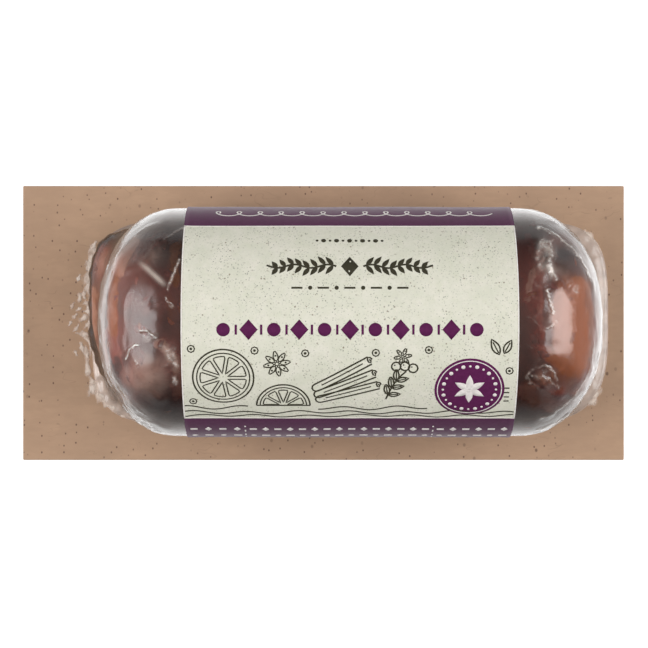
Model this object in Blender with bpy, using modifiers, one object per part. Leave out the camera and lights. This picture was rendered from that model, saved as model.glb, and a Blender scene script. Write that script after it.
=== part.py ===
"""A fruit-coated goat cheese log in its pack: a kraft backing card, the log under clear vacuum film that is
sealed down to the card all round, and a paper label wrapped over the middle.

Sizes are in millimetres and become metres where a mesh is written. The pack lies on its card, +Z up, with the
log along X. The origin is the middle of the card's underside.
"""

import math
import random

import bmesh
import bpy
import numpy as np

MM = 0.001

# Backing card
CARD_LENGTH = 114.0
CARD_WIDTH = 52.0
CARD_THICKNESS = 0.6
CARD_EDGE_ROUND = 0.12

# Room left between pieces that touch
TOUCH_GAP = 0.3

# Log under its film. The two caps are the rounded ends past the straight middle, and LOG_SQUASH is how far
# the log's own weight flattens its underside.
LOG_RADIUS = 20.2
LOG_OFFSET_Y = 0.15
LOG_SQUASH = 0.6
CAP_START_LEFT = -25.4
CAP_START_RIGHT = 34.1
CAP_REACH_LEFT = 15.2
CAP_REACH_RIGHT = 16.4
CAP_PLAN_POWER = 2.2
CAP_SIDE_POWER = 2.15
CAP_BLEND = 3.0

# Where the log has settled, its ends bulge out below the middle, the left one more on its +Y side
LOBE_LEFT = 1.9
LOBE_RIGHT = 0.3
LOBE_LEAN = 0.5

# The side tucks in below the middle as far as this angle from the crest, then the film leaves the log and
# sweeps out to its foot on the card
TUCK_ANGLE = 125.0
TUCK_HANDLE = 4.0
LOBE_HANDLE = 0.25
FOOT_REACH_LEFT = 18.4
FOOT_REACH_RIGHT = 19.8
FOOT_HALF_WIDTH = 18.8
FOOT_PLAN_POWER = 4.0
FOOT_THICKNESS = 0.3
FOOT_FILLET = 2.8

# Paper label
LABEL_LEFT = -24.2
LABEL_RIGHT = 33.2
LABEL_THICKNESS = 0.2
LABEL_STEP_ANGLE = 3.0
LABEL_HALF_STEPS = 40
BAND_START_ANGLE = 54.0

# How finely the log's surface is divided
COLUMNS_UNDER_LABEL = 9
COLUMNS_PER_CAP = 46
COLUMN_START_INSET = 2.3
ROWS_ABOVE = 24
ROWS_BELOW = 8
ROWS_FOOT = 7
ROWS_UNDERSIDE = 3
OUTLINE_SAMPLES = 1500
HALVINGS = 50

# Lumps and folds that show through the film, as seen from above: middle x and y, half length along x and y,
# and height. A negative height is a dent.
LUMPS = (
    (-31.0, -8.4, 5.0, 4.2, 0.85),
    (-37.2, 1.4, 1.3, 7.5, 0.55),
    (-35.4, 9.2, 2.2, 4.6, 0.45),
    (-39.2, 11.6, 2.4, 2.4, 0.60),
    (-28.6, 10.6, 2.2, 3.6, -0.45),
    (-35.0, -1.2, 1.2, 6.0, -0.35),
    (-36.6, -13.0, 3.0, 1.6, -0.50),
    (38.6, 1.6, 1.2, 7.5, 0.50),
    (44.2, 5.6, 2.6, 4.2, 0.55),
    (41.0, 12.4, 2.6, 2.4, -0.55),
    (37.4, -10.2, 2.8, 2.2, 0.65),
    (44.6, -7.6, 3.2, 3.0, 0.40),
    (46.6, -1.4, 1.2, 6.0, -0.30),
)
LUMP_STEEPNESS = 1.4
LUMP_CLEAR_OF_LABEL = 1.4
LUMP_LOWEST = 2.5
LUMP_FADE = 6.0

# Small lumps scattered over each cap, for the pieces of fruit in the coating
FRUIT_LUMPS_PER_CAP = 26
FRUIT_LUMP_SIZE = (1.3, 2.4)
FRUIT_LUMP_HEIGHT = (0.10, 0.30)
FRUIT_LUMP_SEED = 11

# Pleats in the film round the foot of each end
PLEAT_HEIGHT_LEFT = 0.55
PLEAT_HEIGHT_RIGHT = 0.22
PLEAT_LENGTH = 3.3
PLEAT_GROUP = 7.6
PLEAT_FADE = 8.0
PLEAT_RISE = 0.7
PLEAT_DEPTH = 1.1

CARD_TOP = CARD_THICKNESS
LOG_BASE = CARD_TOP + TOUCH_GAP
AXIS_HEIGHT = LOG_BASE + LOG_RADIUS - LOG_SQUASH
FOOT_LIP = LOG_BASE + FOOT_THICKNESS
TUCK = math.radians(TUCK_ANGLE)
LABEL_RADIUS = LOG_RADIUS + TOUCH_GAP

# Colours as sRGB 0 to 255
KRAFT = (181, 149, 123)
COATED_LOG = (98, 58, 48)
LABEL_PAPER = (224, 221, 205)
LABEL_BAND = (86, 48, 80)


def clear_scene():
    """Removes whatever the file holds."""
    for old in list(bpy.data.objects):
        bpy.data.objects.remove(old)


def linear(colour):
    """An sRGB colour of 0 to 255 as the linear RGBA that a shader takes."""
    shares = [c / 255 for c in colour]
    return [s / 12.92 if s <= 0.04045 else ((s + 0.055) / 1.055) ** 2.4 for s in shares] + [1.0]


def material(name, colour, roughness, coat=0.0):
    """A plain Principled finish in one colour, with a clear coat where film lies over it."""
    made = bpy.data.materials.new(name)
    made.use_nodes = True
    shader = made.node_tree.nodes["Principled BSDF"]
    shader.inputs["Base Color"].default_value = linear(colour)
    shader.inputs["Roughness"].default_value = roughness
    shader.inputs["Metallic"].default_value = 0.0
    shader.inputs["Coat Weight"].default_value = coat
    made.diffuse_color = linear(colour)
    return made


def add_object(name, mesh, collection, *materials):
    """An object for a finished mesh, in the pack's collection."""
    made = bpy.data.objects.new(name, mesh)
    for one in materials:
        mesh.materials.append(one)
    collection.objects.link(made)
    return made


def smooth_step(share):
    """0 up to share 0, 1 from share 1, with an even S between."""
    share = np.clip(share, 0, 1)
    return share * share * (3 - 2 * share)


def past_caps(x, left_reach, right_reach):
    """How far x lies past the straight middle, as a share of that end's reach."""
    left = (CAP_START_LEFT - x) / left_reach
    right = (x - CAP_START_RIGHT) / right_reach
    return np.maximum(0.0, np.maximum(left, right))


def gauge(x, y, left_reach, right_reach, half_width, power):
    """0 on the log's centre line and 1 on an outline seen from above: straight sides with superellipse ends."""
    past = past_caps(x, left_reach, right_reach)
    return (past**power + np.abs(y / half_width) ** power) ** (1 / power)


def widest_gauge(x, y):
    """The gauge of the log's outline at its widest level."""
    return gauge(x, y, CAP_REACH_LEFT, CAP_REACH_RIGHT, LOG_RADIUS, CAP_PLAN_POWER)


def foot_gauge(x, y):
    """The gauge of the film's foot on the card."""
    return gauge(x, y, FOOT_REACH_LEFT, FOOT_REACH_RIGHT, FOOT_HALF_WIDTH, FOOT_PLAN_POWER)


def distance_to(level, start_x, direction, measure):
    """How far along each ray from the centre line the gauge reaches level, by halving."""
    near = np.zeros_like(start_x)
    far = np.full_like(start_x, CARD_LENGTH)
    for _ in range(HALVINGS):
        middle = (near + far) / 2
        inside = measure(start_x + middle * direction[0], middle * direction[1]) < level
        near = np.where(inside, middle, near)
        far = np.where(inside, far, middle)
    return far


def cap_columns(start, reach, side):
    """Points on one cap's outline, evenly spaced along it, from its +Y end to its -Y end. side is -1 or 1."""
    turn = np.linspace(0, math.pi, OUTLINE_SAMPLES)
    x = start + side * reach * np.sin(turn) ** (2 / CAP_PLAN_POWER)
    y = LOG_RADIUS * np.sign(np.cos(turn)) * np.abs(np.cos(turn)) ** (2 / CAP_PLAN_POWER)
    run = np.concatenate([[0], np.cumsum(np.hypot(np.diff(x), np.diff(y)))])
    wanted = np.linspace(0, run[-1], COLUMNS_PER_CAP)
    return np.interp(wanted, run, x), np.interp(wanted, run, y)


def columns():
    """Where each column of the surface starts on the centre line and the way it runs outwards, once round the
    log. The columns that fan out over the caps start under the label, so that no pole shows."""
    middle = np.linspace(
        LABEL_LEFT + COLUMN_START_INSET, LABEL_RIGHT - COLUMN_START_INSET, COLUMNS_UNDER_LABEL
    )
    sides = np.full_like(middle, LOG_RADIUS)
    right_x, right_y = cap_columns(CAP_START_RIGHT, CAP_REACH_RIGHT, 1)
    left_x, left_y = cap_columns(CAP_START_LEFT, CAP_REACH_LEFT, -1)
    x = np.concatenate([middle, right_x, middle[::-1], left_x[::-1]])
    y = np.concatenate([sides, right_y, -sides, left_y[::-1]])
    start = np.clip(x, middle[0], middle[-1])
    length = np.hypot(x - start, y)
    return start, ((x - start) / length, y / length)


def side_power(x):
    """The power of the section's upper curve: 2, a circle, under the label, and blunter at the caps."""
    return 2 + (CAP_SIDE_POWER - 2) * smooth_step(past_caps(x, CAP_BLEND, CAP_BLEND))


def crest_row(start):
    """The top row, along the log's crest."""
    height = np.full_like(start, AXIS_HEIGHT + LOG_RADIUS)
    return start, np.zeros_like(start), height


def upper_rows(start, direction):
    """Rings from just below the crest down to the level of the axis, where the log is widest."""
    rows = []
    for turn in np.linspace(0, math.pi / 2, ROWS_ABOVE + 1)[1:]:
        run = distance_to(math.sin(turn), start, direction, widest_gauge)
        x = start + run * direction[0]
        y = run * direction[1]
        share = np.clip(widest_gauge(x, y), 0, 1)
        power = side_power(x)
        rise = LOG_RADIUS * np.maximum(1 - share**power, 0) ** (1 / power)
        rows.append((x, y, AXIS_HEIGHT + rise))
    return rows


def lobe(x, y):
    """How far the wall below the axis bulges out at each end, where the soft log has settled."""
    left = np.clip((CAP_START_LEFT - x) / CAP_REACH_LEFT, 0, 1)
    right = np.clip((x - CAP_START_RIGHT) / CAP_REACH_RIGHT, 0, 1)
    lean = 1 + LOBE_LEAN * y / LOG_RADIUS
    return LOBE_LEFT * lean * left**2 + LOBE_RIGHT * right**2


def lower_rows(start, direction):
    """Rings from the axis level down the tucked side, which a cubic curve then carries out to the foot. Only
    the straight sides tuck in: round the caps the film stands nearly upright."""
    widest = distance_to(1.0, start, direction, widest_gauge)
    foot = distance_to(1.0, start, direction, foot_gauge)
    widest_x = start + widest * direction[0]
    bulge = lobe(widest_x, widest * direction[1])
    upright = np.sqrt(np.clip(past_caps(widest_x, CAP_REACH_LEFT, CAP_REACH_RIGHT), 0, 1))
    tuck = 1 - upright
    rings = []
    for share in np.linspace(0, 1, ROWS_BELOW + 1)[1:]:
        turn = math.pi / 2 + share * (TUCK - math.pi / 2)
        run = widest - LOG_RADIUS * tuck * (1 - math.sin(turn)) + bulge * share**2
        rings.append((run, np.full_like(run, AXIS_HEIGHT + LOG_RADIUS * math.cos(turn))))
    tuck_run, tuck_height = rings[-1]
    guide_run = tuck_run + TUCK_HANDLE * (math.cos(TUCK) * tuck + LOBE_HANDLE * bulge * upright)
    guide_height = tuck_height - TUCK_HANDLE * math.sin(TUCK)
    for share in np.linspace(0, 1, ROWS_FOOT + 1)[1:]:
        back = 1 - share
        w0, w1, w2, w3 = back**3, 3 * back**2 * share, 3 * back * share**2, share**3
        run = w0 * tuck_run + w1 * guide_run + w2 * (foot - FOOT_FILLET) + w3 * foot
        rings.append((run, w0 * tuck_height + w1 * guide_height + (w2 + w3) * FOOT_LIP))
    return [(start + run * direction[0], run * direction[1], height) for run, height in rings]


def underside_rows(start, direction):
    """Rings of the flat underside, from below the foot's lip to the centre line."""
    foot = distance_to(1.0, start, direction, foot_gauge)
    base = np.full_like(start, LOG_BASE)
    shares = np.linspace(1, 0, ROWS_UNDERSIDE + 1)
    return [(start + s * foot * direction[0], s * foot * direction[1], base) for s in shares]


def all_lumps():
    """The fixed lumps, and small ones scattered over each cap for the fruit under the film."""
    draw = random.Random(FRUIT_LUMP_SEED)
    lumps = list(LUMPS)
    for start, reach in ((CAP_START_LEFT, -CAP_REACH_LEFT), (CAP_START_RIGHT, CAP_REACH_RIGHT)):
        for _ in range(FRUIT_LUMPS_PER_CAP):
            across = draw.uniform(-1, 1)
            along = draw.uniform(0, 1) * math.sqrt(1 - across * across)
            size = draw.uniform(*FRUIT_LUMP_SIZE)
            height = draw.uniform(*FRUIT_LUMP_HEIGHT)
            lumps.append((start + reach * along, LOG_RADIUS * across, size, size, height))
    return lumps


def relief(x, y, z):
    """How far the film stands off the smooth log: a sum of soft round lumps, seen from above, that fades out
    towards the label and the card."""
    total = np.zeros_like(x)
    for lump_x, lump_y, half_x, half_y, height in all_lumps():
        spread = ((x - lump_x) / half_x) ** 2 + ((y - lump_y) / half_y) ** 2
        total += height * np.exp(-LUMP_STEEPNESS * spread)
    clear = np.maximum(LABEL_LEFT - x, x - LABEL_RIGHT) - LUMP_CLEAR_OF_LABEL
    above = np.clip((z - LOG_BASE - LUMP_LOWEST) / LUMP_FADE, 0, 1)
    return total * smooth_step(clear / CAP_BLEND) * above


def pleats(x, y, z):
    """How far the film rises in small pleats round the foot, most at the left end: short waves along the foot
    inside slower ones, on the part of the skirt just above the lip."""
    left = np.clip((CAP_START_LEFT - PLEAT_FADE / 2 - x) / PLEAT_FADE, 0, 1)
    right = np.clip((x - CAP_START_RIGHT - PLEAT_FADE / 2) / PLEAT_FADE, 0, 1)
    wave = np.sin(2 * math.pi * y / PLEAT_LENGTH) * np.sin(2 * math.pi * y / PLEAT_GROUP + 1)
    skirt = np.exp(-(((z - FOOT_LIP - PLEAT_RISE) / PLEAT_DEPTH) ** 2)) * (z >= FOOT_LIP)
    return (PLEAT_HEIGHT_LEFT * left + PLEAT_HEIGHT_RIGHT * right) * np.abs(wave) * skirt


def grid_shape(points):
    """A mesh from a grid primitive whose rows and columns are moved to points, closed where they meet."""
    rows, across = points.shape[:2]
    shape = bmesh.new()
    bmesh.ops.create_grid(shape, x_segments=across - 1, y_segments=rows - 1, size=1.0)
    for vertex, place in zip(shape.verts, points.reshape(-1, 3)):
        vertex.co = place * MM
    bmesh.ops.remove_doubles(shape, verts=shape.verts, dist=0.02 * MM)
    bmesh.ops.recalc_face_normals(shape, faces=shape.faces)
    return shape


def add_relief(shape):
    """Moves the surface outwards by the lumps under the film, and raises the pleats at its foot."""
    shape.normal_update()
    places = np.array([v.co for v in shape.verts]) / MM
    normals = np.array([v.normal for v in shape.verts])
    x, y, z = places.T
    places += normals * relief(x, y, z)[:, None]
    places[:, 2] += pleats(x, y, z)
    for vertex, place in zip(shape.verts, places):
        vertex.co = place * MM


def make_card(collection):
    """The flat kraft card that the log is sealed to."""
    shape = bmesh.new()
    bmesh.ops.create_cube(shape, size=1.0)
    for vertex in shape.verts:
        vertex.co.x *= CARD_LENGTH * MM
        vertex.co.y *= CARD_WIDTH * MM
        vertex.co.z = (vertex.co.z + 0.5) * CARD_THICKNESS * MM
    mesh = bpy.data.meshes.new("backing_card")
    shape.to_mesh(mesh)
    shape.free()
    card = add_object("backing_card", mesh, collection, material("kraft board", KRAFT, 0.75))
    edge = card.modifiers.new("soft edges", "BEVEL")
    edge.width = CARD_EDGE_ROUND * MM
    edge.segments = 1


def make_sealed_log(collection):
    """The log with its film, as one solid out to the film's surface, from the crest to the foot on the card."""
    start, direction = columns()
    rings = [crest_row(start)]
    rings += upper_rows(start, direction)
    rings += lower_rows(start, direction)
    rings += underside_rows(start, direction)
    points = np.stack([np.stack(ring, axis=1) for ring in rings])
    points[:, :, 1] += LOG_OFFSET_Y
    closed = np.concatenate([points, points[:, :1]], axis=1)
    shape = grid_shape(closed)
    add_relief(shape)
    mesh = bpy.data.meshes.new("sealed_cheese_log")
    shape.to_mesh(mesh)
    shape.free()
    mesh.shade_smooth()
    finish = material("coated log under film", COATED_LOG, 0.45, coat=1.0)
    add_object("sealed_cheese_log", mesh, collection, finish)


def make_label(collection):
    """The paper label: a thin sleeve over the straight middle, open below, with a dark band along each side."""
    shape = bmesh.new()
    bmesh.ops.create_grid(shape, x_segments=1, y_segments=2 * LABEL_HALF_STEPS, size=1.0)
    for vertex in shape.verts:
        along = (vertex.co.x + 1) / 2
        turn = math.radians(LABEL_STEP_ANGLE * LABEL_HALF_STEPS) * vertex.co.y
        x = LABEL_LEFT + along * (LABEL_RIGHT - LABEL_LEFT)
        y = LOG_OFFSET_Y + LABEL_RADIUS * math.sin(turn)
        z = AXIS_HEIGHT + LABEL_RADIUS * math.cos(turn)
        vertex.co = (x * MM, y * MM, z * MM)
    mesh = bpy.data.meshes.new("paper_label")
    shape.to_mesh(mesh)
    shape.free()
    paper = material("label paper", LABEL_PAPER, 0.6)
    band = material("label band", LABEL_BAND, 0.5)
    label = add_object("paper_label", mesh, collection, paper, band)
    for face in mesh.polygons:
        sideways = abs(face.center.y / MM - LOG_OFFSET_Y)
        turn = math.degrees(math.atan2(sideways, face.center.z / MM - AXIS_HEIGHT))
        face.material_index = 1 if turn > BAND_START_ANGLE else 0
    mesh.shade_smooth()
    sheet = label.modifiers.new("paper thickness", "SOLIDIFY")
    sheet.thickness = LABEL_THICKNESS * MM
    sheet.offset = 1.0


def main():
    clear_scene()
    collection = bpy.data.collections.new("goat_cheese_log_pack")
    bpy.context.scene.collection.children.link(collection)
    make_card(collection)
    make_sealed_log(collection)
    make_label(collection)


main()
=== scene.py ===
"""The look of a fruit-coated goat cheese log in its pack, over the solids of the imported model: the coated
log, the clear film that holds it to a kraft card, and the printed paper label round its middle.

Lengths inside the making of shapes are in millimetres and angles in radians. Every shape is a grid of points
worked out from two parameters, and becomes metres where it is written into a mesh.
"""

import math

import bmesh
import bpy
import numpy as np
from bpy.props import FloatProperty, FloatVectorProperty, IntProperty, PointerProperty
from bpy.types import Operator, Panel, PropertyGroup
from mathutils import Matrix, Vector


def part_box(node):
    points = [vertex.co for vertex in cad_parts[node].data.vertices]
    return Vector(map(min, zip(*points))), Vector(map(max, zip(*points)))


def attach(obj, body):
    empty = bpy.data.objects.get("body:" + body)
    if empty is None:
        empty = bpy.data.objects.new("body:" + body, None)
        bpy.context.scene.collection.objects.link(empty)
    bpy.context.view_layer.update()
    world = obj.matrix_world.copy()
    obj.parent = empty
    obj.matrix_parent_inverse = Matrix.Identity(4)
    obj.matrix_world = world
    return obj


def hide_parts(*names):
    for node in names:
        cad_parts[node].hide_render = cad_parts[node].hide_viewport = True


bl_info = {
    "name": "Goat cheese log pack",
    "version": (1, 0, 0),
    "blender": (4, 5, 0),
    "location": "3D View > Sidebar > Cheese pack",
    "description": "Dresses the solids of a vacuum-packed goat cheese log on its card",
    "category": "Add Mesh",
}

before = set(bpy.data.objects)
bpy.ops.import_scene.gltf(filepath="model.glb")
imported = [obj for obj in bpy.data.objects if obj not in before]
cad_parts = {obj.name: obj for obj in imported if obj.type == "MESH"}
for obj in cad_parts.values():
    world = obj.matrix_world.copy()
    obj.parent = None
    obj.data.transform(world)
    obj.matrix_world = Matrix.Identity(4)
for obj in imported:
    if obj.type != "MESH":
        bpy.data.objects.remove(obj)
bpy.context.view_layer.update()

MM = 0.001
BODY = "root"
CARD_NODE = "backing_card"
LOG_NODE = "sealed_cheese_log"
LABEL_NODE = "paper_label"

# Places read from the imported model
CARD_LOW, CARD_HIGH = (np.array(corner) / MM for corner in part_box(CARD_NODE))
LABEL_LOW, LABEL_HIGH = (np.array(corner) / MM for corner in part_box(LABEL_NODE))
CARD_TOP = CARD_HIGH[2]
LABEL_LEFT = LABEL_LOW[0]
LABEL_RIGHT = LABEL_HIGH[0]
LABEL_MIDDLE = (LABEL_LEFT + LABEL_RIGHT) / 2
LABEL_RADIUS = (LABEL_HIGH[1] - LABEL_LOW[1]) / 2
AXIS_Y = (LABEL_HIGH[1] + LABEL_LOW[1]) / 2
AXIS_Z = LABEL_HIGH[2] - LABEL_RADIUS

# The form of the log and its film: built as the solid log is, with its ends and its foot a little shorter
TOUCH_GAP = 0.3
LABEL_THICKNESS = 0.2
LOG_RADIUS = LABEL_RADIUS - LABEL_THICKNESS - TOUCH_GAP
CAP_START_LEFT = LABEL_LEFT - 1.2
CAP_START_RIGHT = LABEL_RIGHT + 0.9
CAP_REACH_LEFT = 14.6
CAP_REACH_RIGHT = 15.5
CAP_PLAN_POWER = 2.2
CAP_SIDE_POWER = 2.15
CAP_BLEND = 3.0
LOBE_LEFT = 2.9
LOBE_RIGHT = 0.3
LOBE_LEAN = 0.5
FULL_INSET = 0.75
TUCK = math.radians(125.0)
TUCK_HANDLE = 4.0
LOBE_HANDLE = 0.25
FOOT_REACH_LEFT = 18.0
FOOT_REACH_RIGHT = 19.4
FOOT_HALF_WIDTH = 18.8
FOOT_POWER_LEFT = 4.0
FOOT_POWER_RIGHT_FAR = 4.2
FOOT_POWER_RIGHT_NEAR = 3.4
FOOT_FILLET = 2.8
FOOT_LIP = CARD_TOP + TOUCH_GAP + 0.3
COLUMN_START_INSET = 2.3
OUTLINE_SAMPLES = 3000
HALVINGS = 40
CARD_LENGTH = CARD_HIGH[0] - CARD_LOW[0]

# Broad lumps and folds under the film: middle x and y, half length along x and y, and height
LUMPS = (
    (-30.0, -9.2, 4.6, 4.4, 0.55),
    (-35.2, 10.4, 1.8, 4.0, 0.30),
    (-27.2, 10.2, 2.0, 3.4, -0.30),
    (-36.4, -12.6, 3.0, 1.6, -0.40),
    (-34.4, -7.6, 1.6, 2.4, -0.35),
    (37.0, 9.6, 2.0, 3.6, 0.30),
    (43.8, 8.2, 2.6, 3.2, 0.30),
    (41.0, 12.8, 2.6, 2.2, -0.40),
    (36.9, -10.0, 2.6, 2.2, 0.60),
    (44.4, -8.6, 2.8, 2.6, 0.30),
    (39.3, -3.6, 1.4, 1.0, -0.07),
    (38.4, 0.0, 4.0, 9.0, 0.30),
)
LUMP_STEEPNESS = 1.4
LUMP_CLEAR_OF_LABEL = 1.4
LUMP_FADE_LOW = 5.9
FRUIT_RELIEF = 0.07

# How milky the film is at most in its ring, where the ring begins as a gauge and how much earlier along the
# sides, and how milky it is in its walls and its rim. The ring's milk is partly a painted reflection of the
# bright floor along the film's widest line. The rim's milk is a painted highlight on the film's fillet at the
# right foot, and at the left foot partly painted light over the shaded gap under the film. The values of the
# two ends blend over a stretch to either side of the middle.
RING_MILK_AND_PAINTED_REFLECTION = 0.26
RING_INNER = 0.80
RING_EARLIER_AT_SIDES = 0.10
RING_WEAKER_RIGHT = 0.20
WALL_MILK = 0.04
WALL_MORE_RIGHT = 0.03
LEFT_RIM_MILK_AND_PAINTED_LIGHT = 0.38
LEFT_RIM_LESS_BEHIND = 0.26
LEFT_LIP_MILK_AND_PAINTED_LIGHT = 0.40
RIGHT_RIM_PAINTED_HIGHLIGHT = 0.62
MOST_MILK_AND_PAINTED_LIGHT = 0.92
ENDS_BLEND = 12

# Half width above which a crease is softly milky, and not crushed; the wide crease at the upper left of the
# left end is a painted highlight
WIDE_CREASE = 0.4

# Creases pressed into the film over the ends: the points along each, seen from above, its half width and
# height, and how much it whitens the film
CREASES = (
    (((-24.7, 10.6), (-25.5, 8.4), (-26.6, 5.5)), 0.16, 0.22, 0.70),
    (((-26.7, 4.2), (-26.6, 3.6), (-25.7, 2.8)), 0.15, 0.16, 0.55),
    (((-24.6, 16.2), (-25.9, 15.4), (-27.3, 14.3)), 0.17, 0.14, 0.26),
    # A painted highlight: the soft whitish streak at the upper left of the left end, laid as a wide, nearly
    # flat crease
    (((-31.2, 10.1), (-28.9, 8.2), (-27.0, 6.4)), 0.44, 0.02, 0.46),
    (
        ((-33.9, -6.3), (-33.3, -5.5), (-33.2, -4.6), (-32.4, -4.1), (-31.9, -3.6), (-31.3, -3.8)),
        0.13,
        0.07,
        0.90,
    ),
    (((-31.5, -1.4), (-30.2, -1.2), (-29.2, -1.7), (-28.6, -2.6)), 0.20, 0.12, 0.40),
    (((-30.0, -1.2), (-29.4, -2.0), (-28.2, -2.4)), 0.20, 0.12, 0.45),
    (((-27.5, -3.8), (-26.6, -4.2), (-25.8, -5.0), (-24.8, -7.3)), 0.26, 0.16, 0.26),
    (((-26.8, -4.6), (-26.0, -5.8), (-25.2, -7.0)), 0.18, 0.12, 0.42),
    (((-31.9, -6.4), (-31.6, -6.8)), 0.20, 0.12, 0.55),
    (((-25.5, -9.3), (-25.2, -10.1)), 0.30, 0.16, 0.65),
    (((-36.9, -6.9), (-36.9, -8.5), (-36.3, -10.0)), 0.15, 0.16, 0.50),
    (((37.5, 13.8), (36.8, 12.2), (36.6, 10.6), (37.0, 9.0)), 0.34, 0.14, 0.24),
    (((37.5, 13.9), (38.8, 13.8), (39.4, 12.8), (38.9, 11.8)), 0.22, 0.20, 0.40),
    (((38.9, 11.3), (38.3, 10.0), (38.4, 9.1), (39.0, 8.3), (39.5, 7.4)), 0.30, 0.26, 0.75),
    (((38.6, 9.3), (38.9, 8.6)), 0.55, 0.16, 0.60),
    (((37.9, 5.3), (38.4, 3.6), (39.0, 1.6)), 0.26, 0.18, 0.70),
    (((37.9, -0.9), (38.6, -0.5), (39.4, 0.3)), 0.24, 0.14, 0.50),
    (((41.9, 6.3), (43.3, 5.3)), 0.22, 0.14, 0.45),
    (((34.6, -9.1), (35.6, -7.7), (37.9, -7.0), (39.3, -8.1), (40.2, -11.0)), 0.14, 0.18, 0.30),
    (((35.2, -8.9), (37.6, -8.8), (39.7, -10.7)), 0.12, 0.14, 0.26),
    (((34.6, -9.3), (35.7, -10.2), (37.3, -11.0)), 0.14, 0.14, 0.26),
)

# Places where the film is crumpled: middle x and y, half length along x and y, how many facets it breaks
# into, the height of their edges and how much these whiten the film
CRUMPLES = (
    (38.2, 11.6, 1.7, 3.0, 12, 0.20, 0.26),
    (-30.0, -2.2, 1.9, 1.1, 9, 0.12, 0.34),
    (-26.2, -6.0, 1.3, 2.6, 9, 0.14, 0.11),
    (42.8, 5.9, 1.3, 0.8, 6, 0.12, 0.30),
    (37.4, -9.4, 2.0, 1.6, 6, 0.10, 0.05),
    (-31.4, 12.6, 4.6, 3.6, 9, 0.06, 0.04),
    (36.2, 1.0, 1.6, 7.0, 10, 0.08, 0.06),
)

# Places where the ring of milky film, partly a painted reflection, is thinner: middle x and y, half length
# along x and y, and by how much
RING_THIN = (
    (43.6, 14.6, 4.6, 3.6, 0.42),
    (-36.6, -13.0, 4.0, 3.4, 0.42),
    (42.6, -15.0, 4.0, 3.0, 0.15),
)

# Places where the film stands off the coating and looks hazy: middle x and y, half length along x and y, and
# how much it whitens
HAZE = (
    (-30.4, -8.8, 3.8, 3.4, 0.15),
    (-26.4, -5.6, 1.3, 2.2, 0.14),
    (-30.6, 11.6, 4.4, 3.0, 0.06),
    (38.3, 12.6, 1.5, 1.8, 0.26),
    (38.9, 8.8, 0.8, 1.4, 0.34),
    (37.6, 9.8, 1.2, 2.4, 0.14),
    (40.6, 8.6, 1.8, 1.6, 0.10),
)

# Long folds that run beside the widest line: the first and last angle round the cap from +Y to -Y, the
# distance in from the outline, the half width and height, and how much the fold whitens the film
LEFT_FOLDS = (
    (106, 168, 0.7, 0.20, 0.20, 0.35),
    (112, 162, 1.9, 0.20, 0.16, 0.30),
    (120, 156, 3.1, 0.18, 0.12, 0.22),
    (14, 52, 2.6, 0.30, 0.10, 0.16),
)
RIGHT_FOLDS = (
    (12, 67, 3.5, 0.20, 0.16, 0.50),
    (100, 166, 3.4, 0.16, 0.12, 0.35),
    (104, 168, 1.2, 0.22, 0.20, 0.40),
)

# Puckers in the seal at the left foot, each a small raised dab of film on the card: middle x and y, the way
# it points in degrees, length, width and height
SEAL_PUCKERS = (
    (-44.0, 12.4, 78, 4.2, 1.10, 0.24),
    (-44.5, 9.4, 80, 4.6, 1.30, 0.30),
    (-43.6, 14.6, 60, 2.0, 0.70, 0.20),
    (-44.6, 6.6, 98, 2.6, 0.90, 0.26),
    (-45.4, 5.4, 95, 1.6, 0.55, 0.20),
    (-46.3, 4.8, 84, 1.6, 0.60, 0.20),
    (-47.6, 3.3, 70, 1.3, 0.50, 0.18),
    (-45.0, 3.8, 20, 1.6, 0.55, 0.26),
    (-44.7, 2.3, 5, 1.6, 0.50, 0.24),
    (-45.5, 0.9, 28, 2.0, 0.75, 0.28),
    (-47.2, 1.3, 48, 1.4, 0.45, 0.16),
    (-46.9, -0.9, 52, 1.8, 0.45, 0.16),
    (-44.9, -0.6, 50, 1.6, 0.55, 0.24),
    (-45.6, -2.1, -8, 2.6, 0.70, 0.28),
    (-44.5, -3.4, -50, 2.6, 0.55, 0.26),
    (-45.8, -4.6, -76, 1.8, 0.55, 0.20),
    (-47.0, -5.7, -60, 1.2, 0.40, 0.14),
    (-44.9, -5.6, -80, 2.6, 0.70, 0.28),
    (-44.8, -8.4, -82, 3.8, 0.85, 0.30),
    (-44.0, -11.0, -66, 2.6, 0.80, 0.28),
    (-43.3, -12.7, -44, 3.2, 1.50, 0.34),
    (-42.0, -14.1, -38, 3.0, 1.25, 0.34),
    (-40.6, -15.7, -30, 2.6, 0.90, 0.32),
    (-38.4, -17.3, -26, 2.4, 0.55, 0.22),
    (-46.4, 8.6, 70, 1.4, 0.40, 0.14),
    (-48.0, 0.0, 60, 1.2, 0.35, 0.14),
    (-46.4, 2.6, 30, 1.2, 0.40, 0.16),
    (-44.2, 10.8, 86, 4.0, 0.55, 0.12),
    (-44.4, 6.9, 90, 3.4, 0.50, 0.12),
    (-44.4, 3.2, 91, 3.6, 0.50, 0.12),
    (-44.4, -0.6, 91, 3.2, 0.50, 0.12),
    (-44.3, -4.2, 93, 3.6, 0.50, 0.12),
    (50.4, 16.0, 128, 3.4, 1.30, 0.20),
    (51.3, -14.0, 62, 3.6, 1.20, 0.22),
)

# Shares of a pucker's length, width and height that its mesh takes up
PUCKER_LENGTH = 0.72
PUCKER_WIDTH = 0.95
PUCKER_RISE = 0.6

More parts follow.
